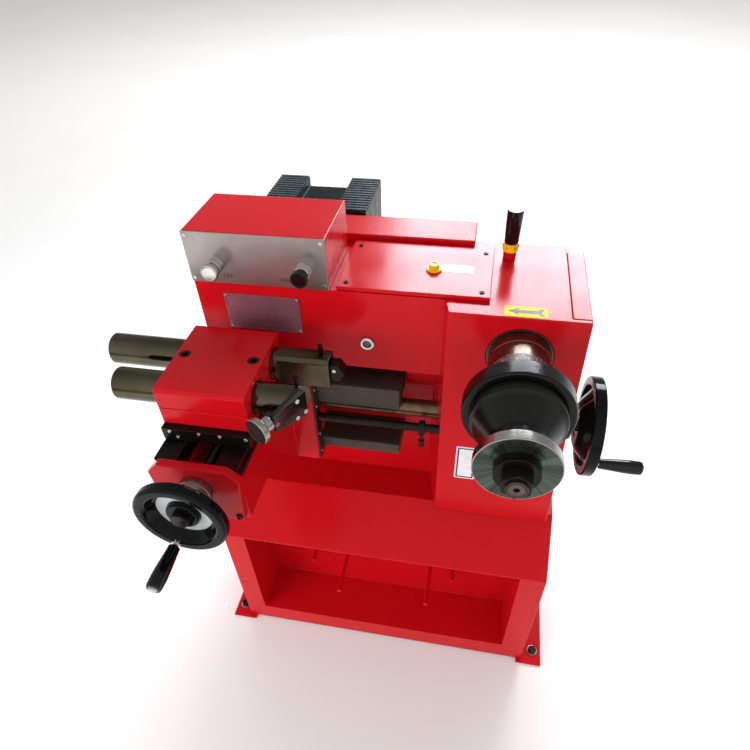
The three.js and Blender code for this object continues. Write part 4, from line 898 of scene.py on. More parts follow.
def lifted(pattern: Pattern, shape: Any, height: Any) -> Any:
    """Moves a shape up by a height socket and returns the moved geometry."""
    way = pattern.node("ShaderNodeCombineXYZ", {"Z": height})
    return pattern.node(
        "GeometryNodeTransform", {"Geometry": shape, "Translation": way.outputs[0]}).outputs[0]


def fastener_pattern(head: Head) -> Pattern:
    """Makes the tree of a fastener head.

    Args:
        head: the kind of head.

    Returns:
        The pattern, with the inputs Radius, Height and Drive.
    """
    pattern = Pattern(f"{head.value}_heads", {
        "Radius": ("NodeSocketFloat", 0.003), "Height": ("NodeSocketFloat", 0.002),
        "Drive": ("NodeSocketFloat", 0.0012)})
    radius, height, drive = (pattern.inputs[key] for key in ("Radius", "Height", "Drive"))
    if head is Head.DOME:
        ball = pattern.node("GeometryNodeMeshUVSphere", {"Segments": 16, "Rings": 8, "Radius": 1.0})
        size = pattern.node("ShaderNodeCombineXYZ", {"X": radius, "Y": radius, "Z": height})
        shape = pattern.node("GeometryNodeTransform", {"Geometry": ball.outputs[0], "Scale": size.outputs[0]})
        pattern.close(facing_copies(pattern, shape.outputs[0]))
        return pattern
    sides = 6 if head is Head.HEXAGON else 24
    lower = pattern.sum("MULTIPLY", height, 0.75)
    stem = pattern.node(
        "GeometryNodeMeshCylinder", {"Vertices": sides, "Radius": radius, "Depth": lower})
    stem_up = lifted(pattern, stem.outputs[0], pattern.sum("MULTIPLY", lower, 0.5))
    crown = pattern.node("GeometryNodeMeshCone", {"Vertices": sides,
        "Radius Bottom": radius, "Radius Top": pattern.sum("MULTIPLY", radius, 0.84),
        "Depth": pattern.sum("MULTIPLY", height, 0.25)})
    crown_up = lifted(pattern, crown.outputs[0], lower)
    whole = pattern.node("GeometryNodeMeshBoolean", {"operation": "UNION", 1: stem_up})
    pattern.tree.links.new(crown_up, whole.inputs[1])
    shape = whole.outputs[0]
    if head is Head.SOCKET:
        well = pattern.node("GeometryNodeMeshCylinder", {"Vertices": 6, "Radius": drive, "Depth": height})
        well_up = lifted(pattern, well.outputs[0], height)
        shape = pattern.node(
            "GeometryNodeMeshBoolean", {"operation": "DIFFERENCE", 0: shape, 1: well_up}).outputs[0]
    if head is Head.CROSS:
        for first, second in ((2.6, 0.55), (0.55, 2.6)):
            size = pattern.node("ShaderNodeCombineXYZ", {
                "X": pattern.sum("MULTIPLY", drive, first), "Y": pattern.sum("MULTIPLY", drive, second),
                "Z": height})
            slot = pattern.node("GeometryNodeMeshCube", {"Size": size.outputs[0]})
            slot_up = lifted(pattern, slot.outputs[0], height)
            shape = pattern.node(
                "GeometryNodeMeshBoolean", {"operation": "DIFFERENCE", 0: shape, 1: slot_up}).outputs[0]
    pattern.close(facing_copies(pattern, shape))
    return pattern


def row_pattern() -> Pattern:
    """Makes the tree of a row of bars, such as cooling fins.

    Returns:
        The pattern, with the inputs Count, Start, Step and Size.
    """
    pattern = Pattern("row_of_bars", {
        "Count": ("NodeSocketInt", 8), "Start": ("NodeSocketVector", (0, 0, 0)),
        "Step": ("NodeSocketVector", (0, 0, 0)), "Size": ("NodeSocketVector", (0.01, 0.01, 0.01))})
    line = pattern.node("GeometryNodeMeshLine", {"mode": "OFFSET",
        "Count": pattern.inputs["Count"], "Start Location": pattern.inputs["Start"],
        "Offset": pattern.inputs["Step"]})
    bar = pattern.node("GeometryNodeMeshCube", {"Size": pattern.inputs["Size"]})
    copies = pattern.node(
        "GeometryNodeInstanceOnPoints", {"Points": line.outputs[0], "Instance": bar.outputs[0]})
    pattern.close(copies.outputs[0])
    return pattern


def ring_pattern() -> Pattern:
    """Makes the tree of bars round a ring, such as knurls, ribs and the marks on a dial.

    Returns:
        The pattern, with the inputs Count, Radius, Size, Turn, Centre, Every and Longer. Every n-th bar
        is longer by that factor and starts from the same edge.
    """
    pattern = Pattern("ring_of_bars", {
        "Count": ("NodeSocketInt", 24), "Radius": ("NodeSocketFloat", 0.01),
        "Size": ("NodeSocketVector", (0.001, 0.001, 0.001)), "Turn": ("NodeSocketVector", (0, 0, 0)),
        "Centre": ("NodeSocketVector", (0, 0, 0)), "Every": ("NodeSocketInt", 1000),
        "Longer": ("NodeSocketFloat", 1.0)})
    ring = pattern.node(
        "GeometryNodeMeshCircle", {"Vertices": pattern.inputs["Count"], "Radius": pattern.inputs["Radius"]})
    place = pattern.node("GeometryNodeInputPosition")
    turn = pattern.node("FunctionNodeAlignRotationToVector", {"axis": "X", "Vector": place.outputs[0]})
    bar = pattern.node("GeometryNodeMeshCube", {"Size": pattern.inputs["Size"]})
    size = pattern.node("ShaderNodeSeparateXYZ", {0: pattern.inputs["Size"]})
    raised = lifted(pattern, bar.outputs[0], pattern.sum("MULTIPLY", size.outputs["Z"], 0.5))
    index = pattern.node("GeometryNodeInputIndex")
    rest = pattern.sum("MODULO", index.outputs[0], pattern.inputs["Every"])
    is_long = pattern.sum("LESS_THAN", rest, 0.5)
    extra = pattern.sum("MULTIPLY", is_long, pattern.sum("SUBTRACT", pattern.inputs["Longer"], 1.0))
    scale = pattern.node(
        "ShaderNodeCombineXYZ", {"X": 1.0, "Y": 1.0, "Z": pattern.sum("ADD", extra, 1.0)})
    copies = pattern.node("GeometryNodeInstanceOnPoints", {
        "Points": ring.outputs[0], "Instance": raised, "Rotation": turn.outputs[0],
        "Scale": scale.outputs[0]})
    placed = pattern.node("GeometryNodeTransform", {
        "Geometry": copies.outputs[0], "Rotation": pattern.inputs["Turn"],
        "Translation": pattern.inputs["Centre"]})
    pattern.close(placed.outputs[0])
    return pattern


def thread_pattern() -> Pattern:
    """Makes the tree of a screw thread on a core.

    Returns:
        The pattern, with the inputs Turns, Radius, Length, Width, Depth, Turn and Centre.
    """
    pattern = Pattern("screw_thread", {
        "Turns": ("NodeSocketFloat", 10.0), "Radius": ("NodeSocketFloat", 0.008),
        "Length": ("NodeSocketFloat", 0.1), "Width": ("NodeSocketFloat", 0.002),
        "Depth": ("NodeSocketFloat", 0.001), "Turn": ("NodeSocketVector", (0, 0, 0)),
        "Centre": ("NodeSocketVector", (0, 0, 0))})
    path = pattern.node("GeometryNodeCurveSpiral", {"Resolution": 20,
        "Rotations": pattern.inputs["Turns"], "Start Radius": pattern.inputs["Radius"],
        "End Radius": pattern.inputs["Radius"], "Height": pattern.inputs["Length"]})
    upright = pattern.node("GeometryNodeSetCurveNormal", {"mode": "Z_UP", "Curve": path.outputs[0]})
    section = pattern.node("GeometryNodeCurvePrimitiveQuadrilateral", {"mode": "RECTANGLE",
        "Width": pattern.inputs["Depth"], "Height": pattern.inputs["Width"]})
    swept = pattern.node("GeometryNodeCurveToMesh", {"Fill Caps": True,
        "Curve": upright.outputs[0], "Profile Curve": section.outputs[0]})
    placed = pattern.node("GeometryNodeTransform", {
        "Geometry": swept.outputs[0], "Rotation": pattern.inputs["Turn"],
        "Translation": pattern.inputs["Centre"]})
    pattern.close(placed.outputs[0])
    return pattern


def wheel_pattern() -> Pattern:
    """Makes the tree of a handwheel whose web rises by a smooth rule from the hub to the rim.

    Returns:
        The pattern, with the inputs Radius, Rim Width, Rim Depth, Rim Round, Hub Radius, Hub Length,
        Hub Start, Flat Radius, Web Start, Web End, Thickness, Turn and Centre. The web stays at Web Start
        up to the Flat Radius and reaches Web End at the rim.
    """
    lengths = ("Radius", "Rim Width", "Rim Depth", "Rim Round", "Hub Radius", "Hub Length", "Hub Start",
               "Flat Radius", "Web Start", "Web End", "Thickness")
    pattern = Pattern("dished_wheel", {
        **{label: ("NodeSocketFloat", 0.01) for label in lengths}, "Turn": ("NodeSocketVector", (0, 0, 0)),
        "Centre": ("NodeSocketVector", (0, 0, 0))})
    given = pattern.inputs
    inner = pattern.sum("SUBTRACT", given["Radius"], given["Rim Width"])
    polar = pattern.node("GeometryNodeMeshGrid", {
        "Size X": 1.0, "Size Y": 1.0, "Vertices X": 28, "Vertices Y": 129})
    spot = pattern.node("ShaderNodeSeparateXYZ", {0: pattern.node("GeometryNodeInputPosition").outputs[0]})
    reach = pattern.node("ShaderNodeMapRange", {"From Min": -0.5, "From Max": 0.5,
        "Value": spot.outputs["X"], "To Min": pattern.sum("SUBTRACT", given["Hub Radius"], 0.001),
        "To Max": pattern.sum("ADD", inner, 0.0005)}).outputs[0]
    angle = pattern.sum("MULTIPLY", spot.outputs["Y"], 2 * math.pi)
    rise = pattern.node("ShaderNodeMapRange", {"interpolation_type": "SMOOTHSTEP",
        "Value": reach, "From Min": given["Flat Radius"], "From Max": inner, "To Min": given["Web Start"],
        "To Max": given["Web End"]}).outputs[0]
    bent = pattern.node("ShaderNodeCombineXYZ", {
        "X": pattern.sum("MULTIPLY", reach, pattern.sum("COSINE", angle)),
        "Y": pattern.sum("MULTIPLY", reach, pattern.sum("SINE", angle)), "Z": rise})
    web = pattern.node("GeometryNodeSetPosition", {"Geometry": polar.outputs[0], "Position": bent.outputs[0]})
    thick = pattern.node("ShaderNodeCombineXYZ", {"Z": given["Thickness"]})
    front = pattern.node("GeometryNodeExtrudeMesh", {"Offset Scale": 1.0, "Individual": False,
        "Mesh": web.outputs[0], "Offset": thick.outputs[0]})
    back = pattern.node("GeometryNodeFlipFaces", {"Mesh": web.outputs[0]})
    path = pattern.node("GeometryNodeCurvePrimitiveCircle", {"Resolution": 128,
        "Radius": pattern.sum("SUBTRACT", given["Radius"], pattern.sum("MULTIPLY", given["Rim Width"], 0.5))})
    upright = pattern.node("GeometryNodeSetCurveNormal", {"mode": "Z_UP", "Curve": path.outputs[0]})
    section = pattern.node("GeometryNodeCurvePrimitiveQuadrilateral", {"mode": "RECTANGLE",
        "Width": given["Rim Width"], "Height": given["Rim Depth"]})
    rounded = pattern.node("GeometryNodeFilletCurve", {"mode": "POLY", "Count": 4,
        "Curve": section.outputs[0], "Radius": given["Rim Round"]})
    rim = pattern.node("GeometryNodeCurveToMesh", {
        "Curve": upright.outputs[0], "Profile Curve": rounded.outputs[0]})
    rim_up = lifted(pattern, rim.outputs[0], pattern.sum("MULTIPLY", given["Rim Depth"], 0.5))
    hub = pattern.node("GeometryNodeMeshCylinder", {"Vertices": 64,
        "Radius": given["Hub Radius"], "Depth": given["Hub Length"]})
    middle = pattern.sum("ADD", given["Hub Start"], pattern.sum("MULTIPLY", given["Hub Length"], 0.5))
    whole = pattern.node("GeometryNodeJoinGeometry")
    for piece in (front.outputs["Mesh"], back.outputs[0], rim_up, lifted(pattern, hub.outputs[0], middle)):
        pattern.tree.links.new(piece, whole.inputs[0])
    welded = pattern.node("GeometryNodeMergeByDistance", {"Distance": 1e-6, "Geometry": whole.outputs[0]})
    placed = pattern.node("GeometryNodeTransform", {
        "Geometry": welded.outputs[0], "Rotation": given["Turn"], "Translation": given["Centre"]})
    pattern.close(placed.outputs[0])
    return pattern


def in_metres(x: float, y: float, z: float) -> tuple[float, float, float]:
    """Turns a place in the drawing frame into metres of the row frame."""
    return tuple(ORIGIN + Vector((x, y, z)) * MM)


def sized(x: float, y: float, z: float) -> tuple[float, float, float]:
    """Turns a size in millimetres into metres."""
    return (x * MM, y * MM, z * MM)


class Patterns:
    """The node trees, each made once, and the pieces that they make."""

    def __init__(self) -> None:
        """Makes every tree."""
        self.heads = {head: fastener_pattern(head) for head in Head}
        self.row = row_pattern()
        self.ring = ring_pattern()
        self.thread = thread_pattern()
        self.wheel = wheel_pattern()

    def screws(self, name: str, head: Head, finish: Finish, body: str, slot: str, points: Sequence[Place],
               facing: Sequence[Place], radius: float, height: float, drive: float = 0.0) -> bpy.types.Object:
        """Makes a set of screw heads on one body.

        Args:
            name: the set's name.
            head: the kind of head.
            finish: its finish.
            body: the body that carries it.
            slot: its material slot.
            points: where the heads sit, in millimetres.
            facing: which way they face.
            radius: radius of a head in millimetres.
            height: height of a head.
            drive: radius of its socket, or zero for half its radius.

        Returns:
            The piece.
        """
        values = {"Radius": radius * MM, "Height": height * MM, "Drive": (drive or radius * 0.5) * MM}
        return dress(self.heads[head].make(name, finish, values, points, facing), body, slot)

    def bars_round(self, name: str, finish: Finish, body: str, slot: str, count: int, radius: float,
                   size: Place, centre: Sequence[float], turn: Place = (0.0, 0.0, 0.0), every: int = 1000,
                   longer: float = 1.0) -> None:
        """Makes a ring of bars on one body.

        Args:
            name: the ring's name.
            finish: its finish.
            body: the body that carries it.
            slot: its material slot.
            count: how many bars stand round the ring.
            radius: the ring's radius in millimetres.
            size: a bar's size across, round and along the ring's axis.
            centre: the ring's middle in the drawing frame.
            turn: how the ring is turned from lying round +Z.
            every: each bar of this number is longer.
            longer: how many times as long.
        """
        values = {"Count": count, "Radius": radius * MM, "Size": sized(*size), "Turn": turn,
                  "Centre": in_metres(*centre), "Every": every, "Longer": longer}
        dress(self.ring.make(name, finish, values), body, slot)


# The sub-assemblies


@dataclass
class Assembly:
    """A group of pieces that is built in one go, with the shared node trees."""

    patterns: Patterns


@dataclass
class Cabinet(Assembly):
    """The welded base, its feet and their bolts."""

    foot_top: float = -803.6
    bolt_x: tuple = (-44.0, 606.0)
    bolt_y: tuple = (-85.0, 150.0)
    washer_radius: float = 11.0
    washer_height: float = 1.6

    def build(self) -> None:
        """Builds the cabinet, the feet and the foot bolts."""
        shells("frame", "red_enamel", SHEET_ENAMEL, ("base_cabinet", "cabinet_shell", 1.3),
               ("foot_plate_left", "foot_left", 0.8), ("foot_plate_right", "foot_right", 0.8))
        places = [(x, y) for x in self.bolt_x for y in self.bolt_y]
        washers = Shape()
        for x, y in places:
            washers.turned(rod(0, self.washer_height, self.washer_radius), "z", (x, y, self.foot_top),
                           ease=0.4, sides=32)
        washers.dressed("foot_washers", [BRIGHT_PLATING], "frame", "chrome")
        self.patterns.screws(
            "foot_bolts", Head.HEXAGON, BLACK_OXIDE, "frame", "black_oxide",
            [(x, y, self.foot_top + self.washer_height) for x, y in places], UP, radius=9.0, height=6.5)


@dataclass
class Casting(Assembly):
    """The machine body with its head, gear cover and top cover, and what is fixed on them."""

    cover_top: float = 6.3
    cover_screws_x: tuple = (224.0, 413.0)
    cover_screws_y: tuple = (14.0, 122.0)
    arrow_low: tuple = (444.0, -27.0)
    arrow_high: tuple = (500.5, -3.0)
    film: float = 0.4
    head_front: float = -30.6
    side_lean: float = 14.0 / 422.0
    side_top_x: float = 557.0
    side_screws_y: tuple = (-12.0, 145.0)
    side_screws_z: tuple = (-18.0, -140.0, -300.0, -402.0)
    plug_x: float = 342.0
    plug_y: float = 66.0
    lever_x: float = 447.0
    lever_y: float = 125.0

    def build(self) -> None:
        """Builds the castings, their fasteners, the labels and the oil plug."""
        shells("frame", "red_enamel", RED_ENAMEL, ("machine_body", "body_casting", 1.8),
               ("gear_cover", "gear_side_cover", 1.4), ("top_cover", "inspection_cover", 1.0))
        self.patterns.screws(
            "cover_screws", Head.SOCKET, BLACK_OXIDE, "frame", "black_oxide",
            [(x, y, self.cover_top - 0.2) for x in self.cover_screws_x for y in self.cover_screws_y], UP,
            radius=3.4, height=2.0, drive=1.7)
        self.patterns.screws(
            "side_cover_screws", Head.SOCKET, BLACK_OXIDE, "frame", "black_oxide",
            [(self.side_top_x - z * self.side_lean - 0.2, y, z)
             for y in self.side_screws_y for z in self.side_screws_z],
            [tuple(Vector((1.0, 0.0, self.side_lean)).normalized())], radius=4.2, height=2.6, drive=2.1)
        self.build_labels()
        self.build_plug()
        self.build_lever()

    def build_labels(self) -> None:
        """Builds the arrow label, the blank film on the top cover and the blank framed plate."""
        (left, front), (right, back) = self.arrow_low, self.arrow_high
        middle = (front + back) / 2
        edge = [(left + 20, 8), (left + 18, 3.4), (right - 13, 3.4), (right - 9, 8), (right - 4, 8)]
        arrow = [(left + 5, middle), *((x, middle + y) for x, y in edge), (right - 8, middle),
                 *((x, middle - y) for x, y in reversed(edge))]
        label = Shape().flat(self.arrow_low, self.arrow_high, "z", 0.0, self.film, ease=2.0)
        label.paint(1).pushed(arrow, "z", self.film - 0.1, 0.25)
        label.dressed("direction_label", [LABEL_YELLOW, LABEL_INK], "frame", "yellow_plastic")

        blank = Shape().flat((352, 62), (398, 82), "z", self.cover_top, 0.3, ease=2.0)
        blank.dressed("blank_cover_film", [LABEL_WHITE], "frame", "brushed_aluminium")

        low, high = (401.0, -328.0), (435.0, -252.0)
        raised, sunk = -30.85, -30.5
        plate = Shape().flat(low, high, "y", self.head_front, 0.6, ease=2.0)
        plate.paint(1).rails(low, high, 2.5, 2.4, raised, sunk)
        plate.dressed("blank_framed_plate", [LABEL_WHITE, LABEL_INK], "frame", "brushed_aluminium")

    def build_plug(self) -> None:
        """Builds the yellow oil filler plug with its grooved edge."""
        plug = Shape().turned(
            [(0.3, 0), (0.3, 8.9), (6.6, 8.9), (6.6, 11.5), (9.6, 11.5), (9.6, 7.5), (15.6, 7.2), (15.6, 4.6),
             (14.2, 4.2), (14.2, 0)], "z", (self.plug_x, self.plug_y, 0), ease=0.8, sides=64)
        plug.dressed("oil_plug", [YELLOW_PLASTIC], "filler_plug", "yellow_plastic", "filler_plug")
        self.patterns.bars_round(
            "oil_plug_ribs", YELLOW_PLASTIC, "filler_plug", "yellow_plastic", 20, 7.3, (0.7, 1.0, 4.2),
            (self.plug_x, self.plug_y, 10.4))

    def build_lever(self) -> None:
        """Builds the shift lever with its red neck, yellow collar and black grip."""
        x, y = self.lever_x, self.lever_y
        neck = Shape().turned([(0.3, 6.5), (0.3, 9.4, 0.3), (13.2, 9.4), (13.2, 6.5)], "z", (x, y, 0),
                              ease=0.8, ring=True, sides=64)
        neck.dressed("shift_neck", [RED_ENAMEL], "frame", "red_enamel")
        collar = Shape().turned(tube(13.3, 25.3, 6.5, 11), "z", (x, y, 0), ease=0.8, ring=True, sides=64)
        collar.dressed("shift_collar_ring", [YELLOW_PLASTIC], "frame", "yellow_plastic", "shift_collar")
        self.patterns.bars_round(
            "shift_marks", LABEL_INK, "frame", "black_plastic", 6, 10.9, (2.2, 0.4, 3.6), (x, y, 19.2))
        lever = Shape().turned(
            [(0.6, 0), (0.6, 6), (25.6, 6), (25.6, 9.8), (27, 10.2), (50, 11.1), (66, 11.5),
             (73.4, 11.5, 0.9), (74.6, 10.6, 0.5), (74.6, 0)], "z", (x, y, 0), ease=0.8, sides=64)
        lever.dressed("shift_grip", [BLACK_PLASTIC], "shift_lever", "black_plastic", "shift_lever")


@dataclass
class Controls(Assembly):
    """The control box, its panel and buttons, the name plate and the sight glass."""

    panel_front: float = -2.3
    button_z: float = 31.0
    button_x: tuple = (("off", 44.0), ("on", 171.0))
    word_x: tuple = (("off", 57.0), ("on", 141.0))
    word_z: float = 12.0
    word_height: float = 8.5
    screw_x: tuple = (5.5, 197.5)
    screw_z: tuple = (70.5, 6.5)
    plate_low: tuple = (42.0, -77.0)
    plate_high: tuple = (156.0, -17.0)
    plate_front: float = -1.3
    glass_x: float = 254.0
    glass_z: float = -85.0

    def build(self) -> None:
        """Builds the box, the panel, the buttons, the plate and the glass."""
        shells("frame", "red_enamel", SHEET_ENAMEL, ("control_box", "control_case", 1.9))
        shells("frame", "brushed_aluminium", BRUSHED_PANEL, ("control_panel", "control_face", 0.5))
        self.patterns.screws(
            "panel_screws", Head.CROSS, BRIGHT_PLATING, "frame", "chrome",
            [(x, self.panel_front + 0.1, z) for z in self.screw_z for x in self.screw_x], FORWARD,
            radius=2.6, height=1.3, drive=1.0)
        self.build_buttons()
        self.build_marks()
        self.build_plate()
        self.build_glass()

    def build_buttons(self) -> None:
        """Builds both buttons with their collars."""
        front = self.panel_front - SEAT - 16
        cap_front = front - 4 - 0.5 - 8.5
        looks = {"off": (BRIGHT_PLATING, "chrome"), "on": (BLACK_PLASTIC, "black_plastic")}
        for side, x in self.button_x:
            face, slot = looks[side]
            collar = Shape().turned(
                [(0, 6.5), (0, 10.4), (1, 11), (10, 11), (10, 9.6), (12.5, 9.6), (12.5, 11), (16, 11),
                 (16, 6.5)], "y", (x, front, self.button_z), ease=0.4, ring=True, sides=64)
            collar.dressed(f"{side}_collar", [BRIGHT_PLATING], "frame", "chrome", f"{side}_button_bezel")
            cap = Shape().turned(
                [(0.2, 0), (0.2, 9.6), (0, 10.4), (0.4, 11.6), (1.0, 12), (7.6, 12), (8.5, 11.2), (8.5, 6),
                 (-cap_front, 6), (-cap_front, 0)], "y", (x, cap_front, self.button_z), ease=0.35, sides=64)
            cap.turned(rod(0.05, 1.2, 9.2), "y", (x, cap_front, self.button_z), ease=0.3, sides=64)
            cap.dressed(f"{side}_cap", [face], f"{side}_button", slot, f"{side}_button")

    def build_marks(self) -> None:
        """Builds the words OFF and ON under the buttons, as thin dark ink."""
        for word, x in self.word_x:
            text = bpy.data.curves.new(f"{word}_mark_curve", "FONT")
            text.body = word.upper()
            text.size = self.word_height * MM
            text.extrude = 0.06 * MM
            text.align_x = text.align_y = "CENTER"
            holder = bpy.data.objects.new(f"{word}_mark_text", text)
            data = plain_mesh(holder)
            place = Vector(in_metres(x, self.panel_front - 0.05, self.word_z))
            data.transform(Matrix.Translation(place) @ Matrix.Rotation(math.pi / 2, 4, "X"))
            dress(as_piece(f"{word}_mark", data, [LABEL_INK], 0.0, 30), "frame", "black_plastic")

    def build_plate(self) -> None:
        """Builds the blank name plate with its raised frame, empty fields and rivets."""
        (left, low), (right, high), front = self.plate_low, self.plate_high, self.plate_front
        raised, sunk = front - 0.18, front + 0.1
        plate = Shape().flat(self.plate_low, self.plate_high, "y", front, 1.0, ease=1.5)
        plate.paint(1).rails(self.plate_low, self.plate_high, 2.2, 0.9, raised, sunk)
        for row in range(4):
            z = high - 16 - row * 10.5
            for start, end in ((left + 8, left + 40), (left + 46, left + 72), (left + 82, right - 8)):
                plate.box((start, raised, z - 3.2), (end, sunk, z - 2.4))
        plate.dressed("name_plate_blank", [ETCHED_PLATE, PLATE_FIELD], "frame", "brushed_aluminium",
                      "name_plate")
        corner = 3.4
        self.patterns.screws(
            "plate_rivets", Head.DOME, BRIGHT_PLATING, "frame", "chrome",
            [(x, front, z) for z in (low + corner, high - corner) for x in (left + corner, right - corner)],
            FORWARD, radius=1.7, height=0.9)

    def build_glass(self) -> None:
        """Builds the oil sight glass: a plated ring, a domed glass and the oil behind it."""
        place = (self.glass_x, 0, self.glass_z)
        glass = Shape().turned([(-4, 6.4), (-4, 9.6), (-3.2, 10.7), (-0.3, 10.7), (-0.3, 6.4)], "y", place,
                               ease=0.5, ring=True, sides=64)
        glass.turned(tube(-0.3, 1.6, 6.6, 10), "y", place, ring=True, sides=64)
        glass.paint(1).turned([(-2.2, 0), (-2.0, 4), (-1.4, 6.6), (-0.2, 6.6), (-0.2, 0)], "y", place,
                              ease=0.3, sides=64)
        glass.dressed("oil_sight_glass", [BRIGHT_PLATING, GLASS_OIL], "frame", "chrome", "sight_glass")


@dataclass
class Drive(Assembly):
    """The belt cover and the motor behind the body."""

    x: float = 121.0
    z: float = -107.0
    front: float = 213.0
    length: float = 138.0
    lid_left: tuple = (29.0, 161.0)
    pad_bottom: float = 38.0
    bracket_top: float = -66.0
    grille_rings: tuple = (24.0, 32.0, 40.0)

    def build(self) -> None:
        """Builds the belt cover, the motor with its fins and boxes, and the fan cover."""
        shells("frame", "red_enamel", SHEET_ENAMEL, ("belt_cover", "belt_guard", 2.2))
        shells("frame", "black_enamel", MOTOR_ENAMEL, ("motor_housing", "motor_case", 1.6))
        for index, left in enumerate(self.lid_left):
            # The fins' paler grey is a painted highlight
            fins = self.patterns.row.make(f"terminal_fins_{index + 1}", LIT_FIN_ENAMEL, {
                "Count": 14, "Start": in_metres(left + 26, self.front + 8, 16.2), "Step": sized(0, 9.4, 0),
                "Size": sized(51, 4.2, 5.2)})
            dress(fins, "frame", "black_enamel")
        ribs = self.patterns.ring.make("motor_ribs", MOTOR_ENAMEL, {
            "Count": 44, "Radius": 84.5 * MM, "Size": sized(5.5, 2.4, 112), "Turn": TO_REAR,
            "Centre": in_metres(self.x, self.front + 12, self.z)})
        self.trim(ribs)
        dress(ribs, "frame", "black_enamel")
        self.build_cowl()

    def trim(self, ribs: bpy.types.Object) -> None:
        """Takes away the ribs that would pass through the pad above and the bracket below.

        Args:
            ribs: the ribs right round the motor.
        """
        work = bmesh.new()
        work.from_mesh(ribs.data)
        middle = in_metres(self.x, 0, self.z)[2]
        high, low = self.pad_bottom * MM, self.bracket_top * MM
        waiting = [v for v in work.verts if not low <= v.co.z - middle <= high]
        doomed = set()
        while waiting:
            vert = waiting.pop()
            if vert not in doomed:
                doomed.add(vert)
                waiting.extend(edge.other_vert(vert) for edge in vert.link_edges)
        bmesh.ops.delete(work, geom=list(doomed), context="VERTS")
        work.to_mesh(ribs.data)
        work.free()

    def build_cowl(self) -> None:
        """Builds the fan cover with its domed edge and grille."""
        place = (self.x, self.front + self.length + SEAT, self.z)
        cowl = Shape().turned(
            [(0, 78), (0, 80), (42, 80, 1), (46, 73, 5), (46, 46), (44, 46), (44, 71.5, 4), (40, 78, 1)],
            "y", place, ease=0.5, ring=True)
        cowl.turned(tube(44.2, 46, 9, 17), "y", place, ease=0.4, ring=True)
        for radius in self.grille_rings:
            cowl.turned(tube(44.4, 46, radius - 1, radius + 1), "y", place, ease=0.4, ring=True)
        cowl.dressed("fan_cowl", [MOTOR_ENAMEL], "frame", "black_enamel", "fan_cover")
        self.patterns.bars_round(
            "fan_cowl_spokes", MOTOR_ENAMEL, "frame", "black_enamel", 8, 31.5, (31.0, 3.0, 1.4),
            (self.x, place[1] + 44.5, self.z), TO_REAR)


@dataclass
class Bed(Assembly):
    """The two ways, the feed screw, the trip rod and its stop collar."""

    screw_place: tuple = (0, 14, -218)
    rod_place: tuple = (0, -22, -227)
    collar_x: float = 337.5

    def build(self) -> None:
        """Builds the ways and the screws along the bed."""
        shells("frame", "ground_iron", WAY_IRON, ("upper_way", "bed_way_upper", 0.9),
               ("lower_way", "bed_way_lower", 0.9))
        screw = Shape().turned(
            [(2, 0), (2, 13.5), (3, 14.5), (380, 14.5), (380, 10), (535, 10), (535, 28), (549, 28), (549, 10),
             (611, 10), (611, 0)], "x", self.screw_place, ease=0.8)
        screw.dressed("feed_screw_rod", [OILED_SCREW], "feed_screw", "bronze", "feed_screw")
        bar = Shape().turned([(-30, 0), (-30, 6.2), (-29, 7), (393.7, 7), (393.7, 0)], "x", self.rod_place,
                             ease=0.4, sides=48)
        bar.dressed("trip_rod_bar", [BLACK_OXIDE], "frame", "black_oxide", "trip_rod")
        _, y, z = self.rod_place
        collar = Shape().turned(tube(0, 10, 7.4, 12), "x", (self.collar_x, y, z), ease=0.9, ring=True,
                                sides=64)
        collar.turned([(-11, 0), (-11, 2.6), (-28, 2.6), (-28, 4.6), (-42, 4.6), (-42, 0)], "z",
                      (self.collar_x + 5, y, z), ease=0.6, sides=24)
        collar.dressed("stop_ring", [BLACK_OXIDE], "stop_collar", "black_oxide", "stop_collar")


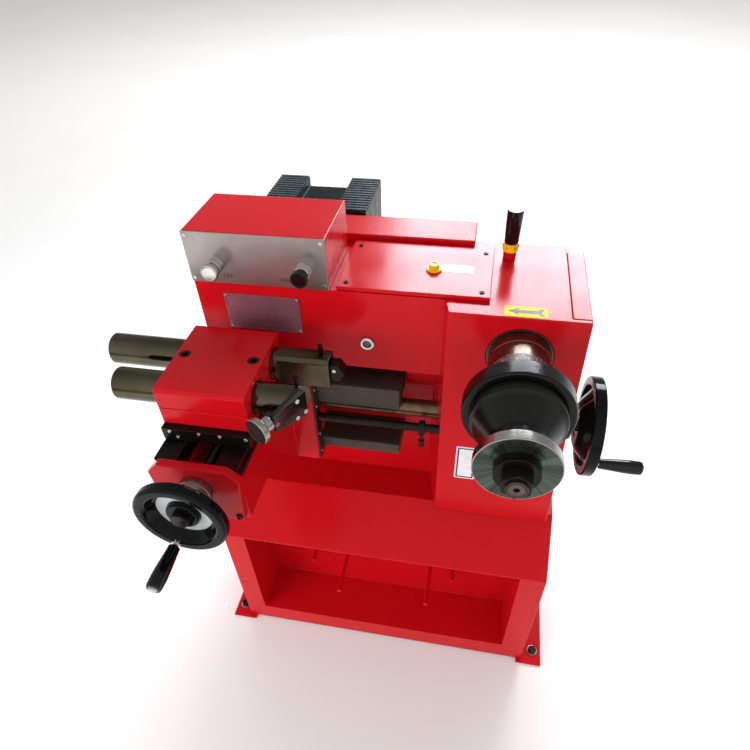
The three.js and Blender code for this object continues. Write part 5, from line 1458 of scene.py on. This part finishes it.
@dataclass
class SpindleLine(Assembly):
    """The spindle with its bell, cone, collar and nut."""

    x: float = 473.0
    z: float = -63.0
    arbor: float = 16.3
    nut_width: float = 39.0
    nut_front: float = -263.2
    nut_back: float = -246.7

    def within(self, point: Vector, front: float, radius: float) -> bool:
        """Says whether a point lies in front of a plane and within a radius of the axis."""
        return point.y < front and math.hypot(point.x - self.x, point.z - self.z) < radius

    def build(self) -> None:
        """Builds the pieces along the spindle, from the head to the nut."""
        place = (self.x, 0.0, self.z)
        spindle = Shape().turned(
            [(-258.5, 0), (-260.5, 2.6), (-266.4, 3.6), (-266.4, 9.2), (-267, 9.6, 0.2), (-267, 12.7),
             (-265.5, 13), (-247.4, 13), (-247.4, 16), (-125, 16), (-125, 42), (-49.6, 42, 0.4),
             (-48.8, 41.1, 0.3), (-48, 42, 0.4), (-30.3, 42), (-30.3, 25), (178, 25), (178, 0)],
            "y", place, ease=1.0)
        spindle.paint_where(1, lambda point: self.within(point, -266.5, 12.6))
        spindle.dressed("spindle_bar", [NOSE_STEEL, END_STEEL], "spindle", "polished_steel", "spindle")
        shoulder = Shape().turned([(-100, 41), (-100, 42.8), (-77, 42.6), (-77, 41)], "y", place, ease=0.4,
                                  ring=True)
        shoulder.dressed("spindle_shoulder", [CHIPPED_PRIMER], "spindle", "polished_steel")
        seal = Shape().turned(tube(-30.2, -16, 42.3, 44.9), "y", place, ease=0.3, ring=True)
        seal.dressed("spindle_seal", [NOSE_STEEL], "frame", "cast_steel", "front_bearing")

        bell = Shape().turned(
            [(-222, self.arbor), (-222, 34), (-195, 34, 3), (-167, 55, 4), (-164, 59.5, 1.5),
             (-154.5, 60.5, 1), (-153, 58), (-151, 58), (-151, 67.8), (-148.8, 70), (-125, 70), (-125, 61),
             (-147, 53), (-147, 44), (-125.3, 44), (-125.3, self.arbor)], "y", place, ease=1.4, ring=True)
        bell.dressed("bell_casting", [CAST_ENAMEL], "spindle", "black_enamel", "centring_bell")
        self.patterns.screws(
            "bell_set_screw", Head.SOCKET, BLACK_OXIDE, "spindle", "black_oxide",
            [(497.6, -211.0, -38.4)], [(0.707, 0.0, 0.707)], radius=4.2, height=1.4, drive=2.2)

        cone = Shape().turned(
            [(-234.1, self.arbor), (-234.1, 33), (-237.1, 50.2), (-236.5, 51), (-223.1, 51), (-222.3, 48),
             (-222.3, self.arbor)], "y", place, ease=0.5, ring=True)
        # The front face gets the painted highlight streaks
        cone.paint_where(1, lambda point: self.within(point, -230, 49.5))
        cone.dressed("drum_cone", [TURNED_STEEL, SHEEN_STREAKED_FACE], "spindle", "polished_steel", "clamp_cone")

        collar = Shape().turned(
            [(-246.4, self.arbor), (-246.4, 26.5), (-246.0, 27), (-234.4, 27), (-234.4, self.arbor)],
            "y", place, ease=0.8, ring=True)
        collar.dressed("clamp_ring", [BLACK_OXIDE], "spindle", "black_oxide", "clamp_collar")

        reach = self.nut_width / 2
        corners = [(self.x + reach * math.cos((k + 0.5) * math.pi / 3),
                    self.z + reach * math.sin((k + 0.5) * math.pi / 3)) for k in range(6)]
        nut = Shape().pushed(corners, "y", self.nut_front, self.nut_back - self.nut_front)
        nut.dressed("arbor_nut", [BLACK_OXIDE], "spindle_nut", "black_oxide", "spindle_nut", bevel=0.9)


@dataclass
class FeedWheel(Assembly):
    """The dished handwheel on the right, its hub flange and crank grip."""

    left: float = 594.0
    y: float = 14.0
    z: float = -218.0
    grip_pitch: float = 66.0
    grip_angle: float = 13.0
    flange_face: float = 573.1
    screw_pitch: float = 17.0
    screw_angles: tuple = (0.9, 2.47, 4.04, 5.61)

    def build(self) -> None:
        """Builds the wheel, its grip and the flange on the gear cover."""
        lengths = {"Radius": 79.0, "Rim Width": 14.0, "Rim Depth": 17.0, "Rim Round": 2.4,
                   "Hub Radius": 20.0, "Hub Length": 28, "Hub Start": -11.5, "Flat Radius": 30,
                   "Web Start": -12.8, "Web End": 6, "Thickness": 5.5}
        wheel = self.patterns.wheel.make("feed_wheel", WHEEL_ENAMEL, {
            **{label: length * MM for label, length in lengths.items()}, "Turn": (0.0, math.pi / 2, 0.0),
            "Centre": in_metres(self.left, self.y, self.z)})
        dress(wheel, "feed_screw", "black_enamel", "feed_handwheel")
        shells("frame", "black_enamel", WHEEL_ENAMEL, ("feed_hub", "feed_flange", 0.8))
        turn = math.radians(self.grip_angle)
        pin = (0, self.y - self.grip_pitch * math.cos(turn), self.z - self.grip_pitch * math.sin(turn))
        grip = crank_grip("x", pin, self.left + 0.5, 1, 20.5)
        grip.dressed("feed_grip", [BLACK_PLASTIC, BRIGHT_PLATING], "feed_crank_grip", "black_plastic",
                     "feed_crank_grip")
        self.patterns.screws(
            "flange_screws", Head.SOCKET, BRIGHT_PLATING, "frame", "chrome",
            [(self.flange_face, self.y + self.screw_pitch * math.cos(angle),
              self.z + self.screw_pitch * math.sin(angle)) for angle in self.screw_angles],
            RIGHT, radius=3.6, height=3.0, drive=1.8)
        self.patterns.screws(
            "bearing_cap_screws", Head.SOCKET, WHEEL_ENAMEL, "frame", "black_oxide",
            [(562.2, -5.0, -166.0), (563.0, -20.0, -189.0)], RIGHT, radius=5.0, height=10.0, drive=2.6)


def crank_grip(axis: str, pin: Place, start: float, direction: int, pin_length: float) -> Shape:
    """Makes a crank grip: a plated pin and cap with a waisted black sleeve.

    Args:
        axis: the axis that it lies along.
        pin: the place of its axis. The number along the axis isn't used.
        start: where the pin starts on the axis.
        direction: which way the grip points, 1 or -1.
        pin_length: how long the pin shows before the sleeve.

    Returns:
        The shape, with the sleeve in the first finish and the metal in the second.
    """
    place = (0.0, pin[1], pin[2]) if axis == "x" else (pin[0], 0.0, pin[2])
    end = pin_length + 62

    def along(rows: Profile) -> list[tuple]:
        """Places a profile on the axis."""
        return [(start + direction * row[0], *row[1:]) for row in rows]

    shape = Shape()
    shape.turned(along([
        (pin_length + 0.2, 0), (pin_length + 0.2, 8, 0.8), (pin_length + 8, 8.4, 4),
        (pin_length + 42, 10.8, 12), (end - 3, 10.4, 2), (end, 9.2, 1), (end, 0)]),
        axis, place, ease=0.8, sides=64)
    shape.paint(1).turned(along(rod(0, pin_length + 0.4, 3.6)), axis, place, sides=48)
    shape.turned(along([
        (end - 0.2, 0), (end - 0.2, 5.8), (end + 0.8, 5.8), (end + 0.8, 5), (end + 2.5, 5), (end + 2.5, 0)]),
        axis, place, ease=0.4, sides=48)
    return shape


@dataclass
class CrossScrew(Assembly):
    """The cross screw with its dial, handwheel and crank grip, and the bracket that carries it."""

    x: float = 71.0
    z: float = -158.0
    bracket_front: float = -250.8
    bracket_screws_x: tuple = (121.0, 21.0)
    dial_front: float = -275.1
    wheel_front: float = -307.1
    screw_back: float = -48.0
    grip_pitch: float = 51.0
    grip_angle: float = -19.0

    def build(self) -> None:
        """Builds the bracket, screw, dial, wheel and grip."""
        shells("carriage", "red_enamel", RED_ENAMEL, ("end_bracket", "screw_bracket", 1.6))
        self.patterns.screws(
            "bracket_screws", Head.SOCKET, BLACK_OXIDE, "carriage", "black_oxide",
            [(x, self.bracket_front + 0.1, -209.0) for x in self.bracket_screws_x], FORWARD,
            radius=5.0, height=3.2, drive=2.5)
        self.build_screw()
        self.build_dial()
        self.build_wheel()

    def build_screw(self) -> None:
        """Builds the cross screw with its thread and end nut."""
        front, back = self.wheel_front + 0.5, self.screw_back
        screw = Shape().turned(
            [(front, 0), (front, 11.2), (front + 0.8, 12), (front + 8.0, 12), (front + 8.2, 8), (-236, 8),
             (-234, 6.6), (back, 6.6), (back, 0)], "y", (self.x, 0, self.z), ease=0.3, sides=64)
        screw.paint_where(1, lambda point: point.y < front + 8.4)
        screw.dressed("cross_screw_core", [TURNED_STEEL, BLACK_OXIDE], "cross_screw", "polished_steel",
                      "cross_screw")
        thread = self.patterns.thread.make("cross_screw_thread", BAR_STEEL, {
            "Turns": 46.0, "Radius": 7.1 * MM, "Length": 184 * MM, "Width": 1.9 * MM, "Depth": 1.7 * MM,
            "Turn": TO_REAR, "Centre": in_metres(self.x, -233.5, self.z)})
        dress(thread, "cross_screw", "polished_steel")

    def build_dial(self) -> None:
        """Builds the dial with its knurled back and its marks."""
        front = self.dial_front
        dial = Shape().turned(
            [(front, 8.3), (front, 22), (front + 1, 23), (front + 13, 23), (front + 13.6, 22.2),
             (front + 14.2, 22.2), (front + 14.8, 22.9), (front + 23.2, 22.9), (front + 24, 22),
             (front + 24, 8.3)], "y", (self.x, 0, self.z), ease=0.3, ring=True)
        dial.dressed("dial_drum", [DIAL_METAL], "cross_screw", "brushed_aluminium", "dial")
        self.patterns.bars_round(
            "dial_marks", LABEL_INK, "cross_screw", "black_plastic", 100, 22.85, (0.36, 0.34, 4.6),
            (self.x, front + 1.4, self.z), TO_REAR, every=10, longer=1.8)
        self.patterns.bars_round(
            "dial_knurl", DIAL_METAL, "cross_screw", "brushed_aluminium", 72, 22.7, (0.6, 0.9, 7.4),
            (self.x, front + 15.4, self.z), TO_REAR)

    def build_wheel(self) -> None:
        """Builds the dished handwheel: a black rim, a bright web ring and a black hub."""
        front, place = self.wheel_front, (self.x, 0, self.z)
        wheel = Shape().turned([
            (front + 31.7, 8.3), (front + 9, 8.3), (front + 9, 20.4), (front + 10.6, 22), (front + 17, 22),
            (front + 17, 38), (front + 3.2, 46, 2), (front, 49.2), (front, 58.8), (front + 3.2, 62),
            (front + 13.8, 62), (front + 17, 58.8), (front + 17, 46, 1), (front + 22, 38), (front + 22, 17),
            (front + 31.7, 17)], "y", place, ease=2.2, ring=True)
        wheel.paint(1).turned([(front + 16.6, 22.2), (front + 16.6, 37.4), (front + 17.4, 38.2),
                               (front + 17.4, 22.2)], "y", place, ring=True)
        wheel.dressed("cross_wheel", [WHEEL_ENAMEL, WEB_FACE], "cross_screw", "black_enamel",
                      "cross_handwheel")
        turn = math.radians(self.grip_angle)
        pin = (self.x + self.grip_pitch * math.sin(turn), 0, self.z - self.grip_pitch * math.cos(turn))
        grip = crank_grip("y", pin, front + 16.5, -1, 23.5)
        grip.dressed("cross_grip", [BLACK_PLASTIC, BRIGHT_PLATING], "cross_crank_grip", "black_plastic",
                     "cross_crank_grip")
        boss = Shape().turned([(front + 1, 0), (front - 2.5, 0), (front - 2.5, 6.2), (front + 1, 6.2)], "y",
                              pin, ease=0.5, sides=48)
        boss.dressed("cross_grip_washer", [BRIGHT_PLATING], "cross_screw", "chrome")


@dataclass
class CarriagePart(Assembly):
    """The carriage with its wipers and dovetail ways."""

    wiper_face: float = 170.8
    wiper_screws_z: tuple = (-165.0, -200.0, -262.0, -303.0)
    way_top: float = -124.9

    def build(self) -> None:
        """Builds the carriage and what is fixed on it."""
        shells("carriage", "red_enamel", RED_ENAMEL, ("carriage", "saddle_casting", 1.8))
        shells("carriage", "rubber", SOFT_RUBBER, ("carriage_wiper", "way_wiper", 0.5))
        shells("carriage", "black_oxide", BLACK_OXIDE, ("dovetail_left", "dovetail_way_left", 0.8),
               ("dovetail_right", "dovetail_way_right", 0.8))
        self.patterns.screws(
            "wiper_screws", Head.CROSS, BRIGHT_PLATING, "carriage", "chrome",
            [(self.wiper_face - 0.1, -27.0, z) for z in self.wiper_screws_z], RIGHT,
            radius=3.0, height=1.8, drive=1.2)
        self.patterns.screws(
            "dovetail_screws", Head.SOCKET, BLACK_OXIDE, "carriage", "black_oxide",
            [(x, y, self.way_top) for x in (29.0, 113.0) for y in (-225.0, -24.0)], UP,
            radius=4.0, height=0.3, drive=2.0)


@dataclass
class SlidePart(Assembly):
    """The cross slide with the tool block and its clamp bolts."""

    wiper_front: float = -200.3
    wiper_screws: tuple = ((24.7, -107.8), (65.8, -107.8), (95.3, -107.8), (131.0, -107.8), (34.0, -117.5))

    def build(self) -> None:
        """Builds the slide, its wiper, the split block and the bolts."""
        shells("cross_slide", "black_oxide", BLACK_OXIDE, ("cross_slide", "slide_saddle", 0.9),
               ("slide_wiper", "slide_wiper_plate", 0.6))
        self.patterns.screws(
            "slide_wiper_screws", Head.SOCKET, BRIGHT_PLATING, "cross_slide", "chrome",
            [(x, self.wiper_front + 0.1, z) for x, z in self.wiper_screws], FORWARD,
            radius=2.9, height=2.0, drive=1.4)
        shells("cross_slide", "red_enamel", RED_ENAMEL, ("tool_block_lower", "bar_block_lower", 1.5),
               ("tool_block_upper", "bar_block_upper", 1.5))
        for number in (1, 2):
            node = f"clamp_bolt_{number}"
            shells(node, "black_oxide", BLACK_OXIDE, (node, f"block_bolt_{number}", 0.7))


@dataclass
class ToolBars(Assembly):
    """The two tool bars with their holders, cutters, plate and micrometer knob."""

    front_y: float = -150.0
    rear_y: float = -77.0
    z: float = -77.0
    radius: float = 22.5
    holder_half: float = 15.0
    lean: float = -28.0
    plate_x: float = 191.0
    knob_x: float = -2.0
    knob_y: float = -48.3

    def build(self) -> None:
        """Builds both bars and what they carry."""
        place = Matrix.Translation((self.plate_x, self.front_y, self.z)) @ Matrix.Rotation(
            math.radians(self.lean), 4, "Z")
        self.build_bars()
        self.build_plate(place)
        self.build_knob(place)

    def build_bars(self) -> None:
        """Builds the round bars, the rear holder, its clamp screw and the cutter."""
        front = softened("front_tool_bar", "front_bar_round", BAR_STEEL, 0.8, 40)
        dress(front, "front_bar", "polished_steel", "front_tool_bar")
        rear = Shape().turned(
            [(-109, 0), (-109, 20), (-106.5, self.radius), (145.5, self.radius), (145.5, 0)],
            "x", (0, self.rear_y, self.z), ease=0.6)
        rear.dressed("rear_bar_round", [BAR_STEEL], "rear_bar", "polished_steel", "rear_tool_bar")
        left, right = self.rear_y - self.holder_half, self.rear_y + self.holder_half
        low, high = self.z - self.radius, self.z + self.radius
        holder = Shape().pushed([(left, low), (right, low), (right, high - 3), (right - 3, high),
                                 (left + 5, high), (left, high - 5)], "x", 143.0, 76.0)
        holder.dressed("rear_holder", [HOLDER_STEEL], "rear_bar", "polished_steel", bevel=0.9)
        self.patterns.screws(
            "holder_screw", Head.SOCKET, BLACK_OXIDE, "rear_bar", "black_oxide",
            [(203.0, self.rear_y + 8, high - 0.2)], UP, radius=3.6, height=12.0, drive=1.9)
        cutter = Shape().pushed([(219.3, -90), (231.3, -90), (239.3, -77), (231.3, -64), (219.3, -64)], "y",
                                -87, 20)
        cutter.dressed("rear_cutter_block", [BLACK_OXIDE], "rear_bar", "black_oxide", "rear_cutter",
                       bevel=0.8)
        self.patterns.screws(
            "cutter_screw", Head.CROSS, BRIGHT_PLATING, "rear_bar", "chrome",
            [(225.0, -87.0, -72.0)], FORWARD, radius=2.8, height=1.4, drive=1.2)

    def build_plate(self, place: Matrix) -> None:
        """Builds the leaning tool plate with its screws, insert and pin.

        Args:
            place: turns the plate's own frame into the drawing frame.
        """
        plate = Shape(place).pushed([(-48, -16, 3), (7, -25), (10, -22), (10, 14), (1, 23, 3), (-48, 12, 2)],
                                    "x", 0.0, 6.0, ease=1.2)
        plate.box((-12, -48, -7), (0.5, -40, 7))
        plate.dressed("tool_plate_body", [PLATE_STEEL], "front_bar", "black_oxide", "tool_plate", bevel=0.6)
        self.patterns.screws(
            "tool_plate_screws", Head.CROSS, BRIGHT_PLATING, "front_bar", "chrome",
            [tuple(place @ Vector((5.9, y, z))) for y, z in ((-7.0, 9.0), (5.4, -17.5), (-9.8, -18.0))],
            [tuple((place.to_3x3() @ Vector((1, 0, 0))))], radius=3.4, height=2.0, drive=1.4)
        marker = Shape(place).turned(rod(5.6, 6.1, 3.2), "x", (0.0, -43.5, -5.0), ease=0.1, sides=24)
        marker.dressed("plate_marker", [PLATE_MARKER], "front_bar", "black_plastic")
        tip = Shape(place).pushed([(-12, -42), (-5, -50), (2, -42)], "z", -9.5, 2.4, ease=0.8)
        tip.dressed("tool_insert", [CARBIDE], "front_bar", "polished_steel")
        pin = Shape().turned([(-2, 0), (-2, 2.8), (11, 2.8), (11, 4.2, 1.5), (17, 4.2, 2), (17, 0)], "z",
                             (190.0, self.front_y + 8, self.z + 20.5), ease=0.6, sides=32)
        pin.dressed("front_bar_pin", [WHEEL_ENAMEL], "front_bar", "black_oxide")

    def build_knob(self, place: Matrix) -> None:
        """Builds the micrometer knob with its knurl and its marks.

        Args:
            place: turns the plate's own frame into the drawing frame.
        """
        x, start = self.knob_x, self.knob_y
        knob = Shape(place).turned(
            [(start, 0), (start, 4), (start - 2, 4), (start - 2, 10.4, 0.6), (start - 3, 11),
             (start - 16, 11), (start - 16, 17.4), (start - 17.2, 18.5), (start - 23.6, 18.5),
             (start - 25, 17.6), (start - 25, 16.6), (start - 24.6, 16.6), (start - 24.6, 0)],
            "y", (x, 0, 0), ease=0.35, sides=64)
        knob.paint(1).turned(rod(start - 24.4, start - 24.9, 16.5), "y", (x, 0, 0), sides=64)
        knob.dressed("micrometer_knob", [KNOB_METAL, KNOB_FACE], "tool_knob", "brushed_aluminium",
                     "tool_knob")
        turn = tuple((place.to_3x3() @ Matrix.Rotation(-math.pi / 2, 3, "X")).to_euler())
        self.patterns.bars_round(
            "knob_knurl", KNOB_METAL, "tool_knob", "brushed_aluminium", 64, 18.25, (0.5, 0.8, 5.6),
            place @ Vector((x, start - 23.6, 0)), turn)
        self.patterns.bars_round(
            "knob_marks", LABEL_INK, "tool_knob", "black_plastic", 50, 10.85, (0.4, 0.3, 3.0),
            place @ Vector((x, start - 14.6, 0)), turn, every=5, longer=1.8)


@dataclass
class Studio:
    """The floor, the soft lights and the camera."""

    pixels: float = 750.0
    focal_pixels: float = 579.7
    centre_x: float = 376.0
    centre_y: float = 424.2
    azimuth: float = 12.18
    elevation: float = 44.48
    roll: float = -2.17
    eye: tuple = (409.9, -682.7, 432.8)
    sensor: float = 36.0
    floor_size: float = 40.0

    def build(self) -> None:
        """Builds the floor, the lights, the world and the camera."""
        self.build_floor()
        self.build_camera()
        self.build_world()
        self.add_panel("rear_softbox", (560.0, 1560.0, 880.0), (450.0, 60.0, 0.0), 1.1, 0.6, 19.0,
                       mirrored=True, colour=(0.86, 0.92, 1.0))
        self.add_panel("front_softbox", (-1300.0, -1550.0, 150.0), (250.0, -50.0, -300.0), 1.4, 1.0, 6.2)
        self.add_panel("right_softbox", (2300.0, -1000.0, 300.0), (300.0, -50.0, -300.0), 1.2, 1.0, 1.4)
        self.add_panel("backdrop_light", (400.0, 3900.0, 3000.0), (400.0, 4500.0, -800.0), 6.0, 3.0, 3.0)
        bpy.context.scene.view_settings.view_transform = "Standard"

    def build_floor(self) -> None:
        """Builds the pale floor that the machine stands on."""
        half = self.floor_size / 2
        data = bpy.data.meshes.new("studio_floor")
        data.from_pydata([(-half, -half, 0), (half, -half, 0), (half, half, 0), (-half, half, 0)], [],
                         [(0, 1, 2, 3)])
        floor = bpy.data.objects.new("studio_floor", data)
        bpy.context.scene.collection.objects.link(floor)
        data.materials.append(PALE_FLOOR.material())

    def build_world(self) -> None:
        """Lights the room: bright in front and beside, dimmer above and behind."""
        world = bpy.data.worlds.new("studio_room")
        bpy.context.scene.world = world
        world.use_nodes = True
        tree = world.node_tree
        place = add_node(tree, "ShaderNodeTexCoord").outputs["Generated"]
        lift = add_node(
            tree, "ShaderNodeVectorMath", {"operation": "DOT_PRODUCT", 0: place, 1: (0.0, 0.8, 0.6)})
        steps = add_node(tree, "ShaderNodeMapRange", {
            "Value": lift.outputs["Value"], "From Min": -0.5, "From Max": 0.7, "To Min": 1.05, "To Max": 0.4})
        background = tree.nodes["Background"]
        background.inputs["Color"].default_value = linear("ffffff")
        tree.links.new(steps.outputs[0], background.inputs["Strength"])

    def add_panel(self, name: str, place: Place, target: Place, width: float, height: float, glow: float,
                  mirrored: bool = False, colour: tuple = (1.0, 1.0, 1.0)) -> None:
        """Adds a soft panel light.

        Args:
            name: its name.
            place: its middle, in the drawing frame.
            target: the point that it faces.
            width: its width in metres.
            height: its height in metres.
            glow: its radiance.
            mirrored: whether glossy surfaces show it.
            colour: the light's linear colour.
        """
        light = bpy.data.lights.new(name, "AREA")
        light.shape = "RECTANGLE"
        light.size, light.size_y = width, height
        light.energy = glow * math.pi * width * height
        light.color = colour
        panel = bpy.data.objects.new(name, light)
        bpy.context.scene.collection.objects.link(panel)
        here, there = Vector(in_metres(*place)), Vector(in_metres(*target))
        panel.visible_glossy = mirrored
        panel.location = here
        panel.rotation_euler = (there - here).to_track_quat("-Z", "Y").to_euler()

    def build_camera(self) -> None:
        """Puts the camera where the photograph was taken from."""
        turn, lift, roll = (math.radians(v) for v in (self.azimuth, self.elevation, self.roll))
        back = Vector((math.sin(turn) * math.cos(lift), -math.cos(turn) * math.cos(lift), math.sin(lift)))
        side = (-back).cross(Vector((0, 0, 1))).normalized()
        top = side.cross(-back)
        right = math.cos(roll) * side + math.sin(roll) * top
        above = -math.sin(roll) * side + math.cos(roll) * top
        data = bpy.data.cameras.new("photo_camera")
        camera = bpy.data.objects.new("photo_camera", data)
        bpy.context.scene.collection.objects.link(camera)
        matrix = Matrix((right, above, back)).transposed().to_4x4()
        matrix.translation = Vector(in_metres(*self.eye))
        camera.matrix_world = matrix
        data.sensor_width = self.sensor
        data.lens = self.sensor * self.focal_pixels / self.pixels
        data.shift_x = (self.pixels / 2 - self.centre_x) / self.pixels
        data.shift_y = (self.centre_y - self.pixels / 2) / self.pixels
        data.clip_start, data.clip_end = 0.01, 100.0
        bpy.context.scene.camera = camera


def dress_plain_nodes() -> None:
    """Gives each CAD node its finish, by the slot that the record names for it."""
    slots = {row["node"]: row["material_slot"] for row in frame["record"]["subparts"]}
    for name, node in frame["nodes"].items():
        node.data.materials.clear()
        node.data.materials.append(SLOT_FINISH[slots[name]].material())


def main() -> None:
    """Builds the machine piece by piece and reports each."""
    Studio().build()
    dress_plain_nodes()
    patterns = Patterns()
    for kind in (Cabinet, Casting, Controls, Drive, Bed, SpindleLine, FeedWheel, CrossScrew, CarriagePart,
                 SlidePart, ToolBars):
        log.info("building %s", kind.__name__)
        kind(patterns).build()


if __name__ == "__main__":
    main()
